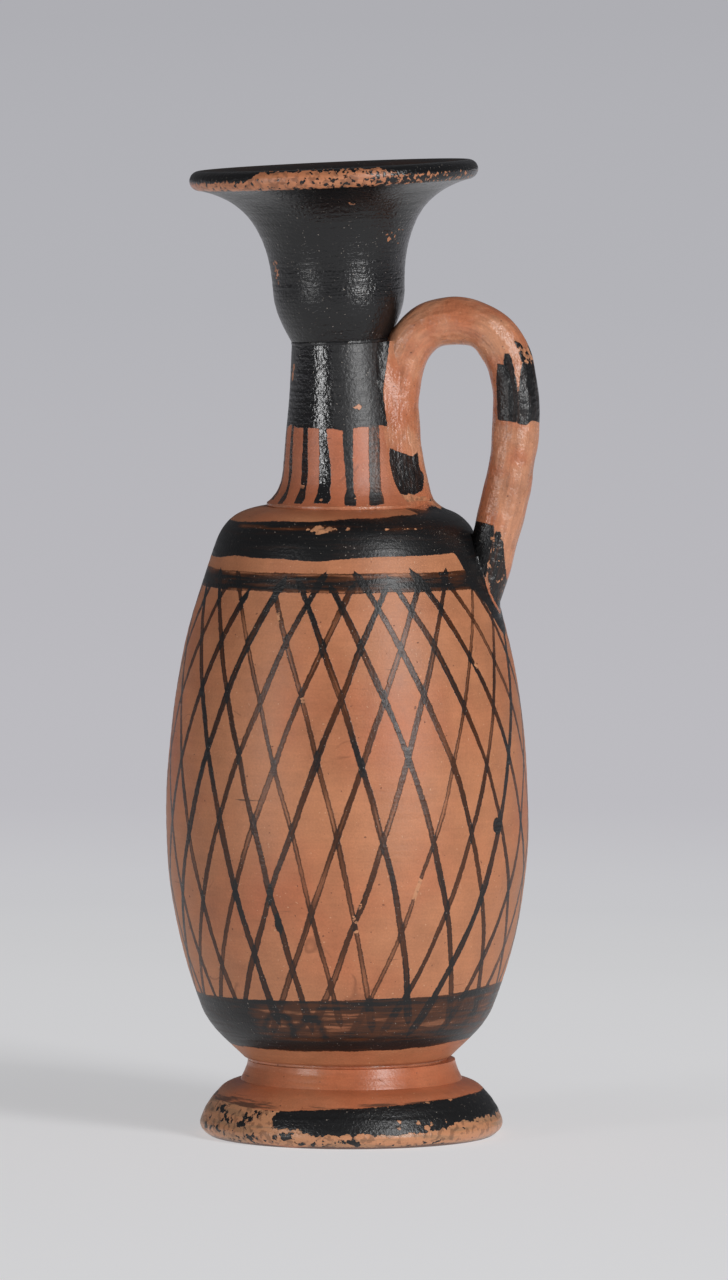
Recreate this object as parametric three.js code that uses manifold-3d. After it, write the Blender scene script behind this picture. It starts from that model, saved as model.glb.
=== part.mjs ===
// A lekythos: a small oil flask of fired clay, wheel-thrown in sections that are joined with slip.
// The foot stands on the table at z = 0, centred on the origin, and the handle points along +X.
import * as THREE from "three";
import { mergeVertices } from "three/addons/utils/BufferGeometryUtils.js";
import Module from "manifold-3d";

const wasm = await Module();
wasm.setup();

// Driving dimensions, in millimetres and degrees.
// Heights inside a thrown section are counted from that section's own base.
// A heading is the way that a wall or the coil runs: 0 points outwards and 90 straight up.

// Foot: a disc with a sloping side, a short stem on top and a shallow hollow underneath.
const FOOT_HEIGHT = 13;
const FOOT_DIAMETER = 52.6;
const FOOT_EDGE_HEIGHT = 2.3;
const FOOT_EDGE_ROUNDING = 1.6;
const FOOT_BROW_DIAMETER = 45.6;
const FOOT_BROW_HEIGHT = 8;
const STEM_FOOT_DIAMETER = 38.6;
const STEM_FOOT_HEIGHT = 9.6;
const STEM_DIAMETER = 36.2;
const REST_RING_WIDTH = 5.6;
const FOOT_HOLLOW_DEPTH = 3;
const HOLLOW_EDGE_HEADING = -30;
const REST_EDGE_HEADING = 30;
const FOOT_EDGE_HEADING = 105;
const FOOT_BROW_HEADING = 134;
const DISC_TOP_HEADING = 166;
const STEM_FOOT_HEADING = 112;
const STEM_TOP_HEADING = 96;

// Body: the belly with its floor, and the shoulder that closes it.
const BODY_HEIGHT = 95.8;
const BODY_BASE_DIAMETER = 36.2;
const KNEE_DIAMETER = 51;
const KNEE_HEIGHT = 9;
const BELLY_DIAMETER = 63;
const BELLY_HEIGHT = 41.2;
const SHOULDER_DIAMETER = 46;
const SHOULDER_DROP = 6.6;
const BODY_WALL = 3.8;
const BODY_FLOOR = 6;
const BODY_BASE_HEADING = 46;
const KNEE_HEADING = 69;
const SHOULDER_HEADING = 110;
const SHOULDER_TOP_HEADING = 172;
// The body stands a little off the centre of its foot, away from the handle.
const BODY_OFFSET = 0.7;

// Neck: a tube that tapers upwards from a flared base.
const NECK_LENGTH = 27.6;
const NECK_BASE_DIAMETER = 28;
const NECK_WAIST_DIAMETER = 22;
const NECK_WAIST_HEIGHT = 6.7;
const NECK_TOP_DIAMETER = 17.3;
const BORE_DIAMETER = 11.2;
const NECK_BASE_HEADING = 140;
const NECK_WAIST_HEADING = 97;
const NECK_TOP_HEADING = 95;

// Mouth: a bell-shaped cup that flares into a thick, round lip.
const MOUTH_HEIGHT = 30.2;
const BOWL_DIAMETER = 23;
const BOWL_HEIGHT = 8.5;
const FLARE_DIAMETER = 28;
const FLARE_HEIGHT = 20;
const RIM_DIAMETER = 50.2;
const LIP_THICKNESS = 3.4;
const MOUTH_WALL = 3.1;
const MOUTH_BASE_HEADING = 62;
const BOWL_HEADING = 88;
const FLARE_HEADING = 62;
const UNDER_LIP_HEADING = 14;

// The neck sagged while wet: over a short arc above its base it leans away from the handle.
const LEAN_ANGLE = 2.6;
const LEAN_LENGTH = 8;

// Handle: a rolled coil that climbs the neck, arches outwards and lands below the shoulder.
const HANDLE_DIAMETER = 8.5;
const HANDLE_REACH = 29.6;
const HANDLE_RISE = 3.4;
const HANDLE_ARCH_HEIGHT = 15.3;
const HANDLE_ROOT_DEPTH = 2.8;
const HANDLE_LANDING_DROP = 20.5;
const HANDLE_HEEL_DEPTH = 5.7;
const ROOT_HEADING = 108;
const HEEL_HEADING = -104;

// Slip: the layers between thrown sections, and the beds under the two ends of the handle.
const SLIP_THICKNESS = 0.6;
const SLIP_BED_THICKNESS = 0.8;
const SLIP_BED_SPREAD = 1.3;
const FIT_GAP = 0.3;

// Fineness of the turned and rolled surfaces.
const TURN_SEGMENTS = 40;
const CURVE_STEPS = 5;
const COIL_SIDES = 16;
const COIL_STEPS = 36;

// How far a curve keeps its first heading, as a share of its span.
const EASY_PULL = 0.36;
const FULL_PULL = 0.44;

// Heights above the table of the joints between sections.
const BODY_BASE_Z = FOOT_HEIGHT + SLIP_THICKNESS;
const SHOULDER_TOP_Z = BODY_BASE_Z + BODY_HEIGHT;
const NECK_BASE_Z = SHOULDER_TOP_Z + SLIP_THICKNESS;
const NECK_TOP_Z = NECK_BASE_Z + NECK_LENGTH;
const MOUTH_BASE_Z = NECK_TOP_Z + SLIP_THICKNESS;
const RIM_Z = MOUTH_BASE_Z + MOUTH_HEIGHT;
const BORE_RADIUS = BORE_DIAMETER / 2;

const clay = new THREE.MeshStandardMaterial({ color: 0xbb7350, roughness: 0.62, metalness: 0 });
const blackGloss = new THREE.MeshStandardMaterial({ color: 0x262626, roughness: 0.34, metalness: 0 });
const slip = new THREE.MeshStandardMaterial({ color: 0xb1623f, roughness: 0.7, metalness: 0 });

// A station is a point of an outline: its radius, its height and the heading of the wall there.
function station(radius, height, heading) {
  return { radius, height, heading };
}

// The station moved square to its wall: outwards for a positive distance, inwards for a negative one.
function moved({ radius, height, heading }, distance) {
  const angle = THREE.MathUtils.degToRad(heading);
  return station(radius + distance * Math.sin(angle), height - distance * Math.cos(angle), heading);
}

// The inner side of a wall at this station, for an outline that comes back down.
function inside(outer, wall) {
  const { radius, height, heading } = moved(outer, -wall);
  return station(radius, height, heading + 180);
}

// The two middle points of a curve that leaves one station and reaches the next along their headings.
function handles(from, to, pull) {
  const reach = pull * Math.hypot(to.radius - from.radius, to.height - from.height);
  const leave = THREE.MathUtils.degToRad(from.heading);
  const arrive = THREE.MathUtils.degToRad(to.heading);
  return [
    { x: from.radius + reach * Math.cos(leave), y: from.height + reach * Math.sin(leave) },
    { x: to.radius - reach * Math.cos(arrive), y: to.height - reach * Math.sin(arrive) },
  ];
}

// Draws smooth curves through a run of stations, starting where the path stands.
function follow(path, stations, pull = EASY_PULL) {
  for (let i = 1; i < stations.length; i += 1) {
    const to = stations[i];
    const [first, second] = handles(stations[i - 1], to, pull);
    path.bezierCurveTo(first.x, first.y, second.x, second.y, to.radius, to.height);
  }
}

// Turns an outline about the vertical axis.
function turned(path) {
  const geometry = new THREE.LatheGeometry(path.getPoints(CURVE_STEPS), TURN_SEGMENTS);
  geometry.rotateX(Math.PI / 2);
  return geometry;
}

// Bends a turned piece along the leaning axis of neck and mouth.
function leaning(geometry) {
  const full = THREE.MathUtils.degToRad(LEAN_ANGLE);
  const arcRadius = LEAN_LENGTH / full;
  const points = geometry.getAttribute("position");
  for (let i = 0; i < points.count; i += 1) {
    const climb = Math.max(points.getZ(i) - NECK_BASE_Z, 0);
    const angle = full * Math.min(climb / LEAN_LENGTH, 1);
    const straight = Math.max(climb - LEAN_LENGTH, 0);
    const low = Math.min(points.getZ(i), NECK_BASE_Z);
    const axisX = -arcRadius * (1 - Math.cos(angle)) - straight * Math.sin(angle);
    const axisZ = low + arcRadius * Math.sin(angle) + straight * Math.cos(angle);
    const across = points.getX(i);
    points.setX(i, axisX + across * Math.cos(angle));
    points.setZ(i, axisZ + across * Math.sin(angle));
  }
  return geometry;
}

// A closed geometry as a solid that can be joined and cut.
function solid(geometry) {
  const bare = geometry.clone();
  bare.deleteAttribute("normal");
  bare.deleteAttribute("uv");
  const merged = mergeVertices(bare, 1e-4);
  const corners = merged.getIndex().array;
  const faces = [];
  for (let i = 0; i < corners.length; i += 3) {
    const [a, b, c] = corners.slice(i, i + 3);
    if (a !== b && b !== c && c !== a) {
      faces.push(a, b, c);
    }
  }
  const vertProperties = new Float32Array(merged.getAttribute("position").array);
  return new wasm.Manifold(new wasm.Mesh({ numProp: 3, vertProperties, triVerts: new Uint32Array(faces) }));
}

// The geometry of a joined or cut solid.
function shape(cutSolid) {
  const { vertProperties, triVerts } = cutSolid.getMesh();
  const geometry = new THREE.BufferGeometry();
  geometry.setAttribute("position", new THREE.BufferAttribute(vertProperties, 3));
  geometry.setIndex(new THREE.BufferAttribute(triVerts, 1));
  geometry.computeVertexNormals();
  return geometry;
}

function piece(name, geometry, material) {
  const mesh = new THREE.Mesh(geometry, material);
  mesh.name = name;
  return mesh;
}

// Stations of the outer walls, from the base of each section to its top.
const bodyBase = station(BODY_BASE_DIAMETER / 2, BODY_BASE_Z, BODY_BASE_HEADING);
const knee = station(KNEE_DIAMETER / 2, BODY_BASE_Z + KNEE_HEIGHT, KNEE_HEADING);
const belly = station(BELLY_DIAMETER / 2, BODY_BASE_Z + BELLY_HEIGHT, 90);
const shoulder = station(SHOULDER_DIAMETER / 2, SHOULDER_TOP_Z - SHOULDER_DROP, SHOULDER_HEADING);
const shoulderTop = station(NECK_BASE_DIAMETER / 2, SHOULDER_TOP_Z, SHOULDER_TOP_HEADING);
const neckBase = station(NECK_BASE_DIAMETER / 2, NECK_BASE_Z, NECK_BASE_HEADING);
const neckWaist = station(NECK_WAIST_DIAMETER / 2, NECK_BASE_Z + NECK_WAIST_HEIGHT, NECK_WAIST_HEADING);
const neckTop = station(NECK_TOP_DIAMETER / 2, NECK_TOP_Z, NECK_TOP_HEADING);
const mouthBase = station(NECK_TOP_DIAMETER / 2, MOUTH_BASE_Z, MOUTH_BASE_HEADING);
const bowl = station(BOWL_DIAMETER / 2, MOUTH_BASE_Z + BOWL_HEIGHT, BOWL_HEADING);
const flare = station(FLARE_DIAMETER / 2, MOUTH_BASE_Z + FLARE_HEIGHT, FLARE_HEADING);
const lipRadius = LIP_THICKNESS / 2;
const lipCentreRadius = RIM_DIAMETER / 2 - lipRadius;
const underLip = station(lipCentreRadius, RIM_Z - LIP_THICKNESS, UNDER_LIP_HEADING);
const lipCrest = station(lipCentreRadius, RIM_Z, 180);

function foot() {
  const hollowTop = station(0, FOOT_HOLLOW_DEPTH, 0);
  const restOuter = station(FOOT_DIAMETER / 2 - FOOT_EDGE_ROUNDING, 0, REST_EDGE_HEADING);
  const restInner = station(restOuter.radius - REST_RING_WIDTH, 0, HOLLOW_EDGE_HEADING);
  const edge = station(FOOT_DIAMETER / 2, FOOT_EDGE_HEIGHT, FOOT_EDGE_HEADING);
  const brow = station(FOOT_BROW_DIAMETER / 2, FOOT_BROW_HEIGHT, FOOT_BROW_HEADING);
  const discTop = station(STEM_FOOT_DIAMETER / 2, STEM_FOOT_HEIGHT, DISC_TOP_HEADING);
  const stemFoot = station(STEM_FOOT_DIAMETER / 2, STEM_FOOT_HEIGHT, STEM_FOOT_HEADING);
  const stemTop = station(STEM_DIAMETER / 2, FOOT_HEIGHT, STEM_TOP_HEADING);
  const outline = new THREE.Path();
  outline.moveTo(0, FOOT_HOLLOW_DEPTH);
  follow(outline, [hollowTop, restInner]);
  outline.lineTo(restOuter.radius, 0);
  follow(outline, [restOuter, edge, brow, discTop]);
  follow(outline, [stemFoot, stemTop]);
  outline.lineTo(0, FOOT_HEIGHT);
  return turned(outline);
}

function body() {
  const hole = station(BORE_RADIUS, SHOULDER_TOP_Z - BODY_WALL, 0);
  const floor = station(0, BODY_BASE_Z + BODY_FLOOR, 180);
  const innerWall = [shoulder, belly, knee].map((outer) => inside(outer, BODY_WALL));
  const outline = new THREE.Path();
  outline.moveTo(0, BODY_BASE_Z);
  outline.lineTo(bodyBase.radius, BODY_BASE_Z);
  follow(outline, [bodyBase, knee, belly, shoulder]);
  follow(outline, [shoulder, shoulderTop], FULL_PULL);
  outline.lineTo(BORE_RADIUS, SHOULDER_TOP_Z);
  outline.lineTo(hole.radius, hole.height);
  follow(outline, [hole, ...innerWall, floor]);
  return turned(outline);
}

function neck() {
  const outline = new THREE.Path();
  outline.moveTo(neckBase.radius, NECK_BASE_Z);
  follow(outline, [neckBase, neckWaist, neckTop]);
  outline.lineTo(BORE_RADIUS, NECK_TOP_Z);
  outline.lineTo(BORE_RADIUS, NECK_BASE_Z + LEAN_LENGTH);
  outline.lineTo(BORE_RADIUS, NECK_BASE_Z);
  outline.lineTo(neckBase.radius, NECK_BASE_Z);
  return leaning(turned(outline));
}

function mouth() {
  const boreTop = station(BORE_RADIUS, MOUTH_BASE_Z, -90);
  const innerWall = [flare, bowl].map((outer) => inside(outer, MOUTH_WALL));
  const quarter = Math.PI / 2;
  const outline = new THREE.Path();
  outline.moveTo(mouthBase.radius, MOUTH_BASE_Z);
  follow(outline, [mouthBase, bowl, flare, underLip]);
  outline.absarc(lipCentreRadius, RIM_Z - lipRadius, lipRadius, -quarter, quarter, false);
  follow(outline, [lipCrest, ...innerWall, boreTop]);
  outline.lineTo(mouthBase.radius, MOUTH_BASE_Z);
  return leaning(turned(outline));
}

// A flat layer of slip, a disc or, with a hole, a ring.
function slipLayer(radius, holeRadius, height) {
  const outline = new THREE.Path();
  outline.moveTo(holeRadius, height);
  outline.lineTo(radius, height);
  outline.lineTo(radius, height + SLIP_THICKNESS);
  outline.lineTo(holeRadius, height + SLIP_THICKNESS);
  if (holeRadius > 0) {
    outline.lineTo(holeRadius, height);
  }
  return turned(outline);
}

// A thrown section filled to its axis and grown by a clearance, to cut what is pressed against it.
function filled(runs, clearance) {
  const grown = runs.map(({ stations, pull }) => {
    return { stations: stations.map((outer) => moved(outer, clearance)), pull };
  });
  const first = grown[0].stations[0];
  const last = grown.at(-1).stations.at(-1);
  const outline = new THREE.Path();
  outline.moveTo(0, first.height);
  outline.lineTo(first.radius, first.height);
  for (const { stations, pull } of grown) {
    follow(outline, stations, pull);
  }
  outline.lineTo(0, last.height);
  return solid(leaning(turned(outline)));
}

function filledBody(clearance) {
  const side = { stations: [belly, shoulder], pull: EASY_PULL };
  const top = { stations: [shoulder, shoulderTop], pull: FULL_PULL };
  return filled([side, top], clearance);
}

// The neck with the rings of slip below and above it.
function filledNeck(clearance) {
  const slipUnder = station(neckBase.radius, SHOULDER_TOP_Z, 90);
  const slipOver = station(neckTop.radius, MOUTH_BASE_Z, 90);
  const stations = [slipUnder, neckBase, neckWaist, neckTop, slipOver];
  return filled([{ stations, pull: EASY_PULL }], clearance);
}

function filledMouth(clearance) {
  return filled([{ stations: [mouthBase, bowl, flare], pull: EASY_PULL }], clearance);
}

// The radius of the body's wall at a height between its belly and its shoulder.
function wallRadius(height) {
  const wall = new THREE.Path();
  wall.moveTo(belly.radius, belly.height);
  follow(wall, [belly, shoulder]);
  const points = wall.getPoints(CURVE_STEPS);
  const next = points.findIndex((point) => point.y > height);
  const under = points[next - 1];
  const over = points[next];
  const share = (height - under.y) / (over.y - under.y);
  return THREE.MathUtils.lerp(under.x, over.x, share);
}

// The middle line of the handle, from its root in the shoulder up the neck, over and down.
const coilRadius = HANDLE_DIAMETER / 2;
const archTopZ = MOUTH_BASE_Z + HANDLE_RISE;
const springZ = archTopZ - HANDLE_ARCH_HEIGHT;
const neckLegX = NECK_TOP_DIAMETER / 2;
const rootX = NECK_BASE_DIAMETER / 2 - coilRadius / 2;
const heelZ = SHOULDER_TOP_Z - HANDLE_LANDING_DROP;
const heelX = wallRadius(heelZ) - HANDLE_HEEL_DEPTH;
const root = station(rootX, SHOULDER_TOP_Z - HANDLE_ROOT_DEPTH, ROOT_HEADING);
const innerSpring = station(neckLegX, springZ, 90);
const crown = station((neckLegX + HANDLE_REACH) / 2, archTopZ, 0);
const outerSpring = station(HANDLE_REACH, springZ, -90);
const heel = station(heelX, heelZ, HEEL_HEADING);
const climb = { stations: [root, innerSpring], pull: EASY_PULL };
const firstHalf = { stations: [innerSpring, crown], pull: FULL_PULL };
const arch = { stations: [innerSpring, crown, outerSpring], pull: FULL_PULL };
const landing = { stations: [outerSpring, heel], pull: EASY_PULL };

// A coil of clay of one thickness along stations in the plane of the handle.
function coil(runs, radius, steps) {
  const middle = new THREE.CurvePath();
  const place = (x, z) => new THREE.Vector3(x, 0, z);
  for (const { stations, pull } of runs) {
    for (let i = 1; i < stations.length; i += 1) {
      const from = stations[i - 1];
      const to = stations[i];
      const [first, second] = handles(from, to, pull);
      const points = [
        place(from.radius, from.height),
        place(first.x, first.y),
        place(second.x, second.y),
        place(to.radius, to.height),
      ];
      middle.add(new THREE.CubicBezierCurve3(...points));
    }
  }
  const section = new THREE.Shape();
  section.absarc(0, 0, radius, 0, 2 * Math.PI, false);
  const options = { extrudePath: middle, steps, curveSegments: COIL_SIDES / 2, bevelEnabled: false };
  return solid(new THREE.ExtrudeGeometry(section, options));
}

function handle() {
  const bed = FIT_GAP + SLIP_BED_THICKNESS + FIT_GAP;
  const rolled = coil([climb, arch, landing], coilRadius, COIL_STEPS);
  const seated = rolled.subtract(filledBody(bed)).subtract(filledNeck(bed));
  return shape(seated.subtract(filledMouth(FIT_GAP)));
}

// The bed of slip under one end of the handle: a skin on the wall, a little wider than the coil.
function slipBed(runs, walls) {
  const spread = coil(runs, coilRadius + SLIP_BED_SPREAD, COIL_STEPS / 2);
  const joined = (clearance) => walls
    .map((wall) => wall(clearance))
    .reduce((sum, next) => sum.add(next));
  const skin = spread.intersect(joined(FIT_GAP + SLIP_BED_THICKNESS)).subtract(joined(FIT_GAP));
  return shape(skin.subtract(filledMouth(FIT_GAP)));
}

const footSlipRadius = Math.min(STEM_DIAMETER, BODY_BASE_DIAMETER) / 2 - BODY_OFFSET;

const pot = new THREE.Group();
pot.position.x = -BODY_OFFSET;
pot.add(
  piece("foot_slip_joint", slipLayer(footSlipRadius, 0, FOOT_HEIGHT), slip),
  piece("body", body(), clay),
  piece("neck_slip_joint", slipLayer(neckBase.radius, BORE_RADIUS, SHOULDER_TOP_Z), slip),
  piece("neck", neck(), blackGloss),
  piece("mouth_slip_joint", leaning(slipLayer(neckTop.radius, BORE_RADIUS, NECK_TOP_Z)), slip),
  piece("mouth", mouth(), blackGloss),
  piece("handle", handle(), clay),
  piece("handle_upper_slip_joint", slipBed([climb, firstHalf], [filledBody, filledNeck]), slip),
  piece("handle_lower_slip_joint", slipBed([landing], [filledBody]), slip),
);

const lekythos = new THREE.Group();
lekythos.add(piece("foot", foot(), clay), pot);

export default lekythos;
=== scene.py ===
# %% [markdown]
# # A lekythos with a painted net
# A lekythos is a small oil flask. This one was thrown on a wheel in sections, joined with slip (liquid
# clay), given a rolled handle, painted with a finer slip that fires black, and worn for a long time.
# The solid model of its ten pieces is loaded as a fixed frame. Each piece then gets a finer skin in the
# same place, and painted finishes made from two shared node groups cover them all.

# %% Load the frame
import math
from functools import partialmethod
from types import SimpleNamespace

import bmesh
import bpy
import numpy as np
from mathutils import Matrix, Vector


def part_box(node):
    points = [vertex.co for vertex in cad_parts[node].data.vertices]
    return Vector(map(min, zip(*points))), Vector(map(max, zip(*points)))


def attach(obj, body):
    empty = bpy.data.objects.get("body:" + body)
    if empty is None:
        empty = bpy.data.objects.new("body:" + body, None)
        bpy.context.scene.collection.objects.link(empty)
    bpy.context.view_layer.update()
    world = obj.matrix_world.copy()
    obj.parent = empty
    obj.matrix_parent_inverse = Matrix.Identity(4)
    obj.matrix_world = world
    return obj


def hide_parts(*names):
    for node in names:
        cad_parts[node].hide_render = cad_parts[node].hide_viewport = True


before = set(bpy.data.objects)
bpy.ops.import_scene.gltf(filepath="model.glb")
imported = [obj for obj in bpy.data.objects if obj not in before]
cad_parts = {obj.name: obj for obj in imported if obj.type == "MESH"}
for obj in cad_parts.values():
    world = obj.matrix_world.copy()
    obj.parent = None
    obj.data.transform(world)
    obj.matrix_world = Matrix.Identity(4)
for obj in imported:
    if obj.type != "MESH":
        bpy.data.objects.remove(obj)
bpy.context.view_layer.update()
print("frame:", len(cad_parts), "nodes")

# %% [markdown]
# ## Camera
# The photograph was taken from about two metres with a long lens, a little above the flask, with the
# handle on the right and turned slightly towards the lens. A wide lens close by would frame the flask as
# well, but it would swell the belly and shrink the mouth. So the same distance and height are used here.

# %% Place the camera
MM = 0.001
CAMERA_AZIMUTH = 10
CAMERA_DISTANCE = 2.06
CAMERA_HEIGHT = 0.235
CAMERA_LENS = 334
AIM_HEIGHT = 0.086
AIM_RIGHT = 0.0022

scene = bpy.context.scene
scene.view_settings.view_transform = "Standard"


def around(azimuth, distance, height):
    """A point at this azimuth: 0 lies on the -Y side of the flask and 90 on its +X side."""
    angle = math.radians(azimuth)
    return Vector((distance * math.sin(angle), -distance * math.cos(angle), height))


def facing(obj, target):
    """Turns a camera or lamp so that it looks at the target."""
    obj.rotation_mode = "QUATERNION"
    obj.rotation_quaternion = (target - obj.location).to_track_quat("-Z", "Y")


aim = around(CAMERA_AZIMUTH + 90, AIM_RIGHT, AIM_HEIGHT)
level_distance = math.sqrt(CAMERA_DISTANCE**2 - (CAMERA_HEIGHT - AIM_HEIGHT) ** 2)
camera = bpy.data.objects.new("camera", bpy.data.cameras.new("camera"))
scene.collection.objects.link(camera)
camera.location = around(CAMERA_AZIMUTH, level_distance, CAMERA_HEIGHT) + Vector((aim.x, aim.y, 0))
camera.data.lens = CAMERA_LENS
camera.data.clip_end = 100
facing(camera, aim)
scene.camera = camera
print("camera:", [round(v, 3) for v in camera.location], "lens", CAMERA_LENS)

# %% [markdown]
# ## Node bench
# Every finish here is a tree of shader nodes. They could be wired by hand in the shader editor. In a
# script, adding and wiring a node takes three lines each time, so a small bench with short ways to add
# the common ones keeps the recipes readable.


# %% Make a bench for shader nodes
class Bench:
    """A node tree with short ways to add nodes. An input takes a number, a colour or a socket."""

    def __init__(self, tree):
        self.tree = tree

    def feed(self, socket, value):
        if isinstance(value, bpy.types.NodeSocket):
            self.tree.links.new(value, socket)
        else:
            socket.default_value = value

    def node(self, kind, inputs=None, **settings):
        made = self.tree.nodes.new("ShaderNode" + kind)
        for name, value in settings.items():
            setattr(made, name, value)
        for socket, value in (inputs or {}).items():
            self.feed(made.inputs[socket], value)
        return made

    def math(self, operation, first, *others):
        """One operation on a list of values, taken from left to right."""
        for other in others:
            first = self.node("Math", {0: first, 1: other}, operation=operation).outputs[0]
        return first

    plus = partialmethod(math, "ADD")
    minus = partialmethod(math, "SUBTRACT")
    times = partialmethod(math, "MULTIPLY")
    most = partialmethod(math, "MAXIMUM")
    least = partialmethod(math, "MINIMUM")

    def less(self, value):
        """One minus a value."""
        return self.minus(1.0, value)

    def unsigned(self, value):
        return self.node("Math", {0: value}, operation="ABSOLUTE").outputs[0]

    def step(self, value, low, high):
        """0 below low, 1 above high, and a smooth slope between them."""
        limits = {"Value": value, "From Min": low, "From Max": high}
        return self.node("MapRange", limits, interpolation_type="SMOOTHSTEP").outputs["Result"]

    def span(self, value, low, high):
        """A value from 0 to 1 spread over low to high."""
        return self.node("MapRange", {"Value": value, "To Min": low, "To Max": high}).outputs["Result"]

    def noise(self, vector, scale, detail=2.0):
        inputs = {"Vector": vector, "Scale": scale, "Detail": detail}
        return self.node("TexNoise", inputs).outputs["Fac"]

    def mix(self, factor, first, second):
        made = self.node("Mix", data_type="RGBA")
        self.feed(made.inputs[0], factor)
        self.feed(made.inputs[6], first)
        self.feed(made.inputs[7], second)
        return made.outputs[2]

    def field(self, name, kind="Fac"):
        """A value or a vector that the mesh stores on its vertices."""
        return self.node("Attribute", attribute_name=name).outputs[kind]

    def place(self, shift=0.0):
        """Where a point lies on the object, moved aside so that two textures don't match."""
        spot = self.node("TexCoord").outputs["Object"]
        return self.node("VectorMath", {0: spot, 1: (shift, shift, shift)}, operation="ADD").outputs[0]

    def group(self, name, inputs):
        return self.node("Group", inputs, node_tree=bpy.data.node_groups[name]).outputs


print("bench ready")


# %% Make node groups and colours
def node_group(name, inputs, outputs):
    """A new shader node group: its bench, its input sockets and its output sockets."""
    tree = bpy.data.node_groups.new(name, "ShaderNodeTree")
    for in_out, sockets in (("INPUT", inputs), ("OUTPUT", outputs)):
        for socket, kind in sockets.items():
            tree.interface.new_socket(socket, in_out=in_out, socket_type="NodeSocket" + kind)
    given = tree.nodes.new("NodeGroupInput").outputs
    result = tree.nodes.new("NodeGroupOutput").inputs
    return Bench(tree), given, result


def colour(red, green, blue):
    """A display colour from 0 to 255 as the linear colour that shaders take."""
    shares = [v / 255 for v in (red, green, blue)]
    linear = [v / 12.92 if v <= 0.04045 else ((v + 0.055) / 1.055) ** 2.4 for v in shares]
    return (*linear, 1.0)


def new_finish(name):
    """An empty material and its bench."""
    finish = bpy.data.materials.new(name)
    finish.use_nodes = True
    finish.node_tree.nodes.clear()
    return finish, Bench(finish.node_tree)


print("middle grey as a linear colour:", [round(v, 3) for v in colour(128, 128, 128)])

# %% [markdown]
# ## Floor
# The flask stands on a pale sweep that darkens into the distance. A curved backdrop could be built, but
# from the camera the far floor fills the whole background, and without a wall nothing blocks the views
# from other sides. So one wide disc is enough.

# %% Lay the floor
FLOOR_RADIUS = 30.0
FLOOR_SIDES = 128
floor_mesh = bpy.data.meshes.new("floor")
floor_shape = bmesh.new()
bmesh.ops.create_circle(floor_shape, cap_ends=True, radius=FLOOR_RADIUS, segments=FLOOR_SIDES)
floor_shape.to_mesh(floor_mesh)
floor_shape.free()
floor = bpy.data.objects.new("floor", floor_mesh)
scene.collection.objects.link(floor)
print("floor:", len(floor_mesh.polygons), "face")

# %% [markdown]
# ### Tone of the floor
# Lamps that model the flask well leave a level floor too dark. More light would wash out the flask, so the
# floor glows a little instead: half of its tone close to the flask, where it still takes the shadow, and
# all of it in the distance. As soft light only the near floor throws that glow back onto the flask, and
# mirror-like reflections see all of it.

# %% Finish the floor
FLOOR_TONE = colour(250, 250, 252)
NEAR_GLOW = 0.5
SHADE_NEAR, SHADE_FAR = 0.2, 0.65
BOUNCE_NEAR, BOUNCE_FAR = 0.3, 0.6
SWEEP_CENTRE = around(CAMERA_AZIMUTH - 30, 0.17, 0)
# Distance in metres from the brightest place, in front of the flask, and the display colour there.
SWEEP_TONES = [
    (0.28, 246, 246, 248), (0.475, 212, 212, 214), (0.58, 199, 199, 202), (0.82, 189, 188, 193),
    (1.5, 185, 184, 189), (3.45, 179, 179, 184), (9.75, 174, 174, 179),
]
sweep_end = SWEEP_TONES[-1][0]

floor_finish, bench = new_finish("pale_sweep")
off_centre = bench.node("VectorMath", {0: bench.place(), 1: SWEEP_CENTRE}, operation="SUBTRACT").outputs[0]
distance = bench.node("VectorMath", {0: off_centre}, operation="LENGTH").outputs["Value"]
ramp = bench.node("ValToRGB", {"Fac": bench.math("DIVIDE", distance, sweep_end)})
stops = ramp.color_ramp.elements
for stop, (reach, *tone) in zip(stops, (SWEEP_TONES[0], SWEEP_TONES[-1])):
    stop.position = reach / sweep_end
    stop.color = colour(*tone)
for reach, *tone in SWEEP_TONES[1:-1]:
    stops.new(reach / sweep_end).color = colour(*tone)
matte = bench.node("BsdfDiffuse", {"Color": FLOOR_TONE})
glow = bench.node("Emission", {"Color": ramp.outputs["Color"], "Strength": 1.0})
rays = bench.node("LightPath").outputs
thrown_back = bench.less(bench.step(distance, BOUNCE_NEAR, BOUNCE_FAR))
seen = bench.most(rays["Is Camera Ray"], rays["Is Glossy Ray"], thrown_back)
share = bench.span(bench.step(distance, SHADE_NEAR, SHADE_FAR), NEAR_GLOW, 1.0)
cover = bench.node("MixShader", {0: bench.times(share, seen), 1: matte.outputs[0], 2: glow.outputs[0]})
bench.node("OutputMaterial", {"Surface": cover.outputs[0]})
floor_mesh.materials.append(floor_finish)
print("floor finish:", len(stops), "tones")

# %% [markdown]
# ## Light
# Two upright soft boxes light the flask: a narrow one on the left, and a taller and stronger one on the
# right that casts the shadow. They show as two long highlights on the neck and the belly. A picture of a
# studio wrapped round the scene could give the same, but two area lamps are easier to aim. The room
# itself stays dim. Mirror-like reflections see it paler, and the camera sees it palest.

# %% Set up two soft boxes
LAMP_DISTANCE = 1.5
# Azimuth from the camera, height in metres, width, tallness and power in watts.
SOFT_BOXES = {
    "left_box": (-50, 0.25, 0.26, 0.7, 5.6),
    "right_box": (38, 0.6, 0.34, 1.2, 18.5),
}
for name, (azimuth, height, width, tall, power) in SOFT_BOXES.items():
    lamp = bpy.data.lights.new(name, "AREA")
    lamp.shape = "RECTANGLE"
    lamp.size = width
    lamp.size_y = tall
    lamp.energy = power
    box = bpy.data.objects.new(name, lamp)
    box.location = around(CAMERA_AZIMUTH + azimuth, LAMP_DISTANCE, height)
    box.visible_camera = False
    facing(box, Vector((0, 0, AIM_HEIGHT)))
    scene.collection.objects.link(box)
print("lamps:", ", ".join(SOFT_BOXES))

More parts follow.
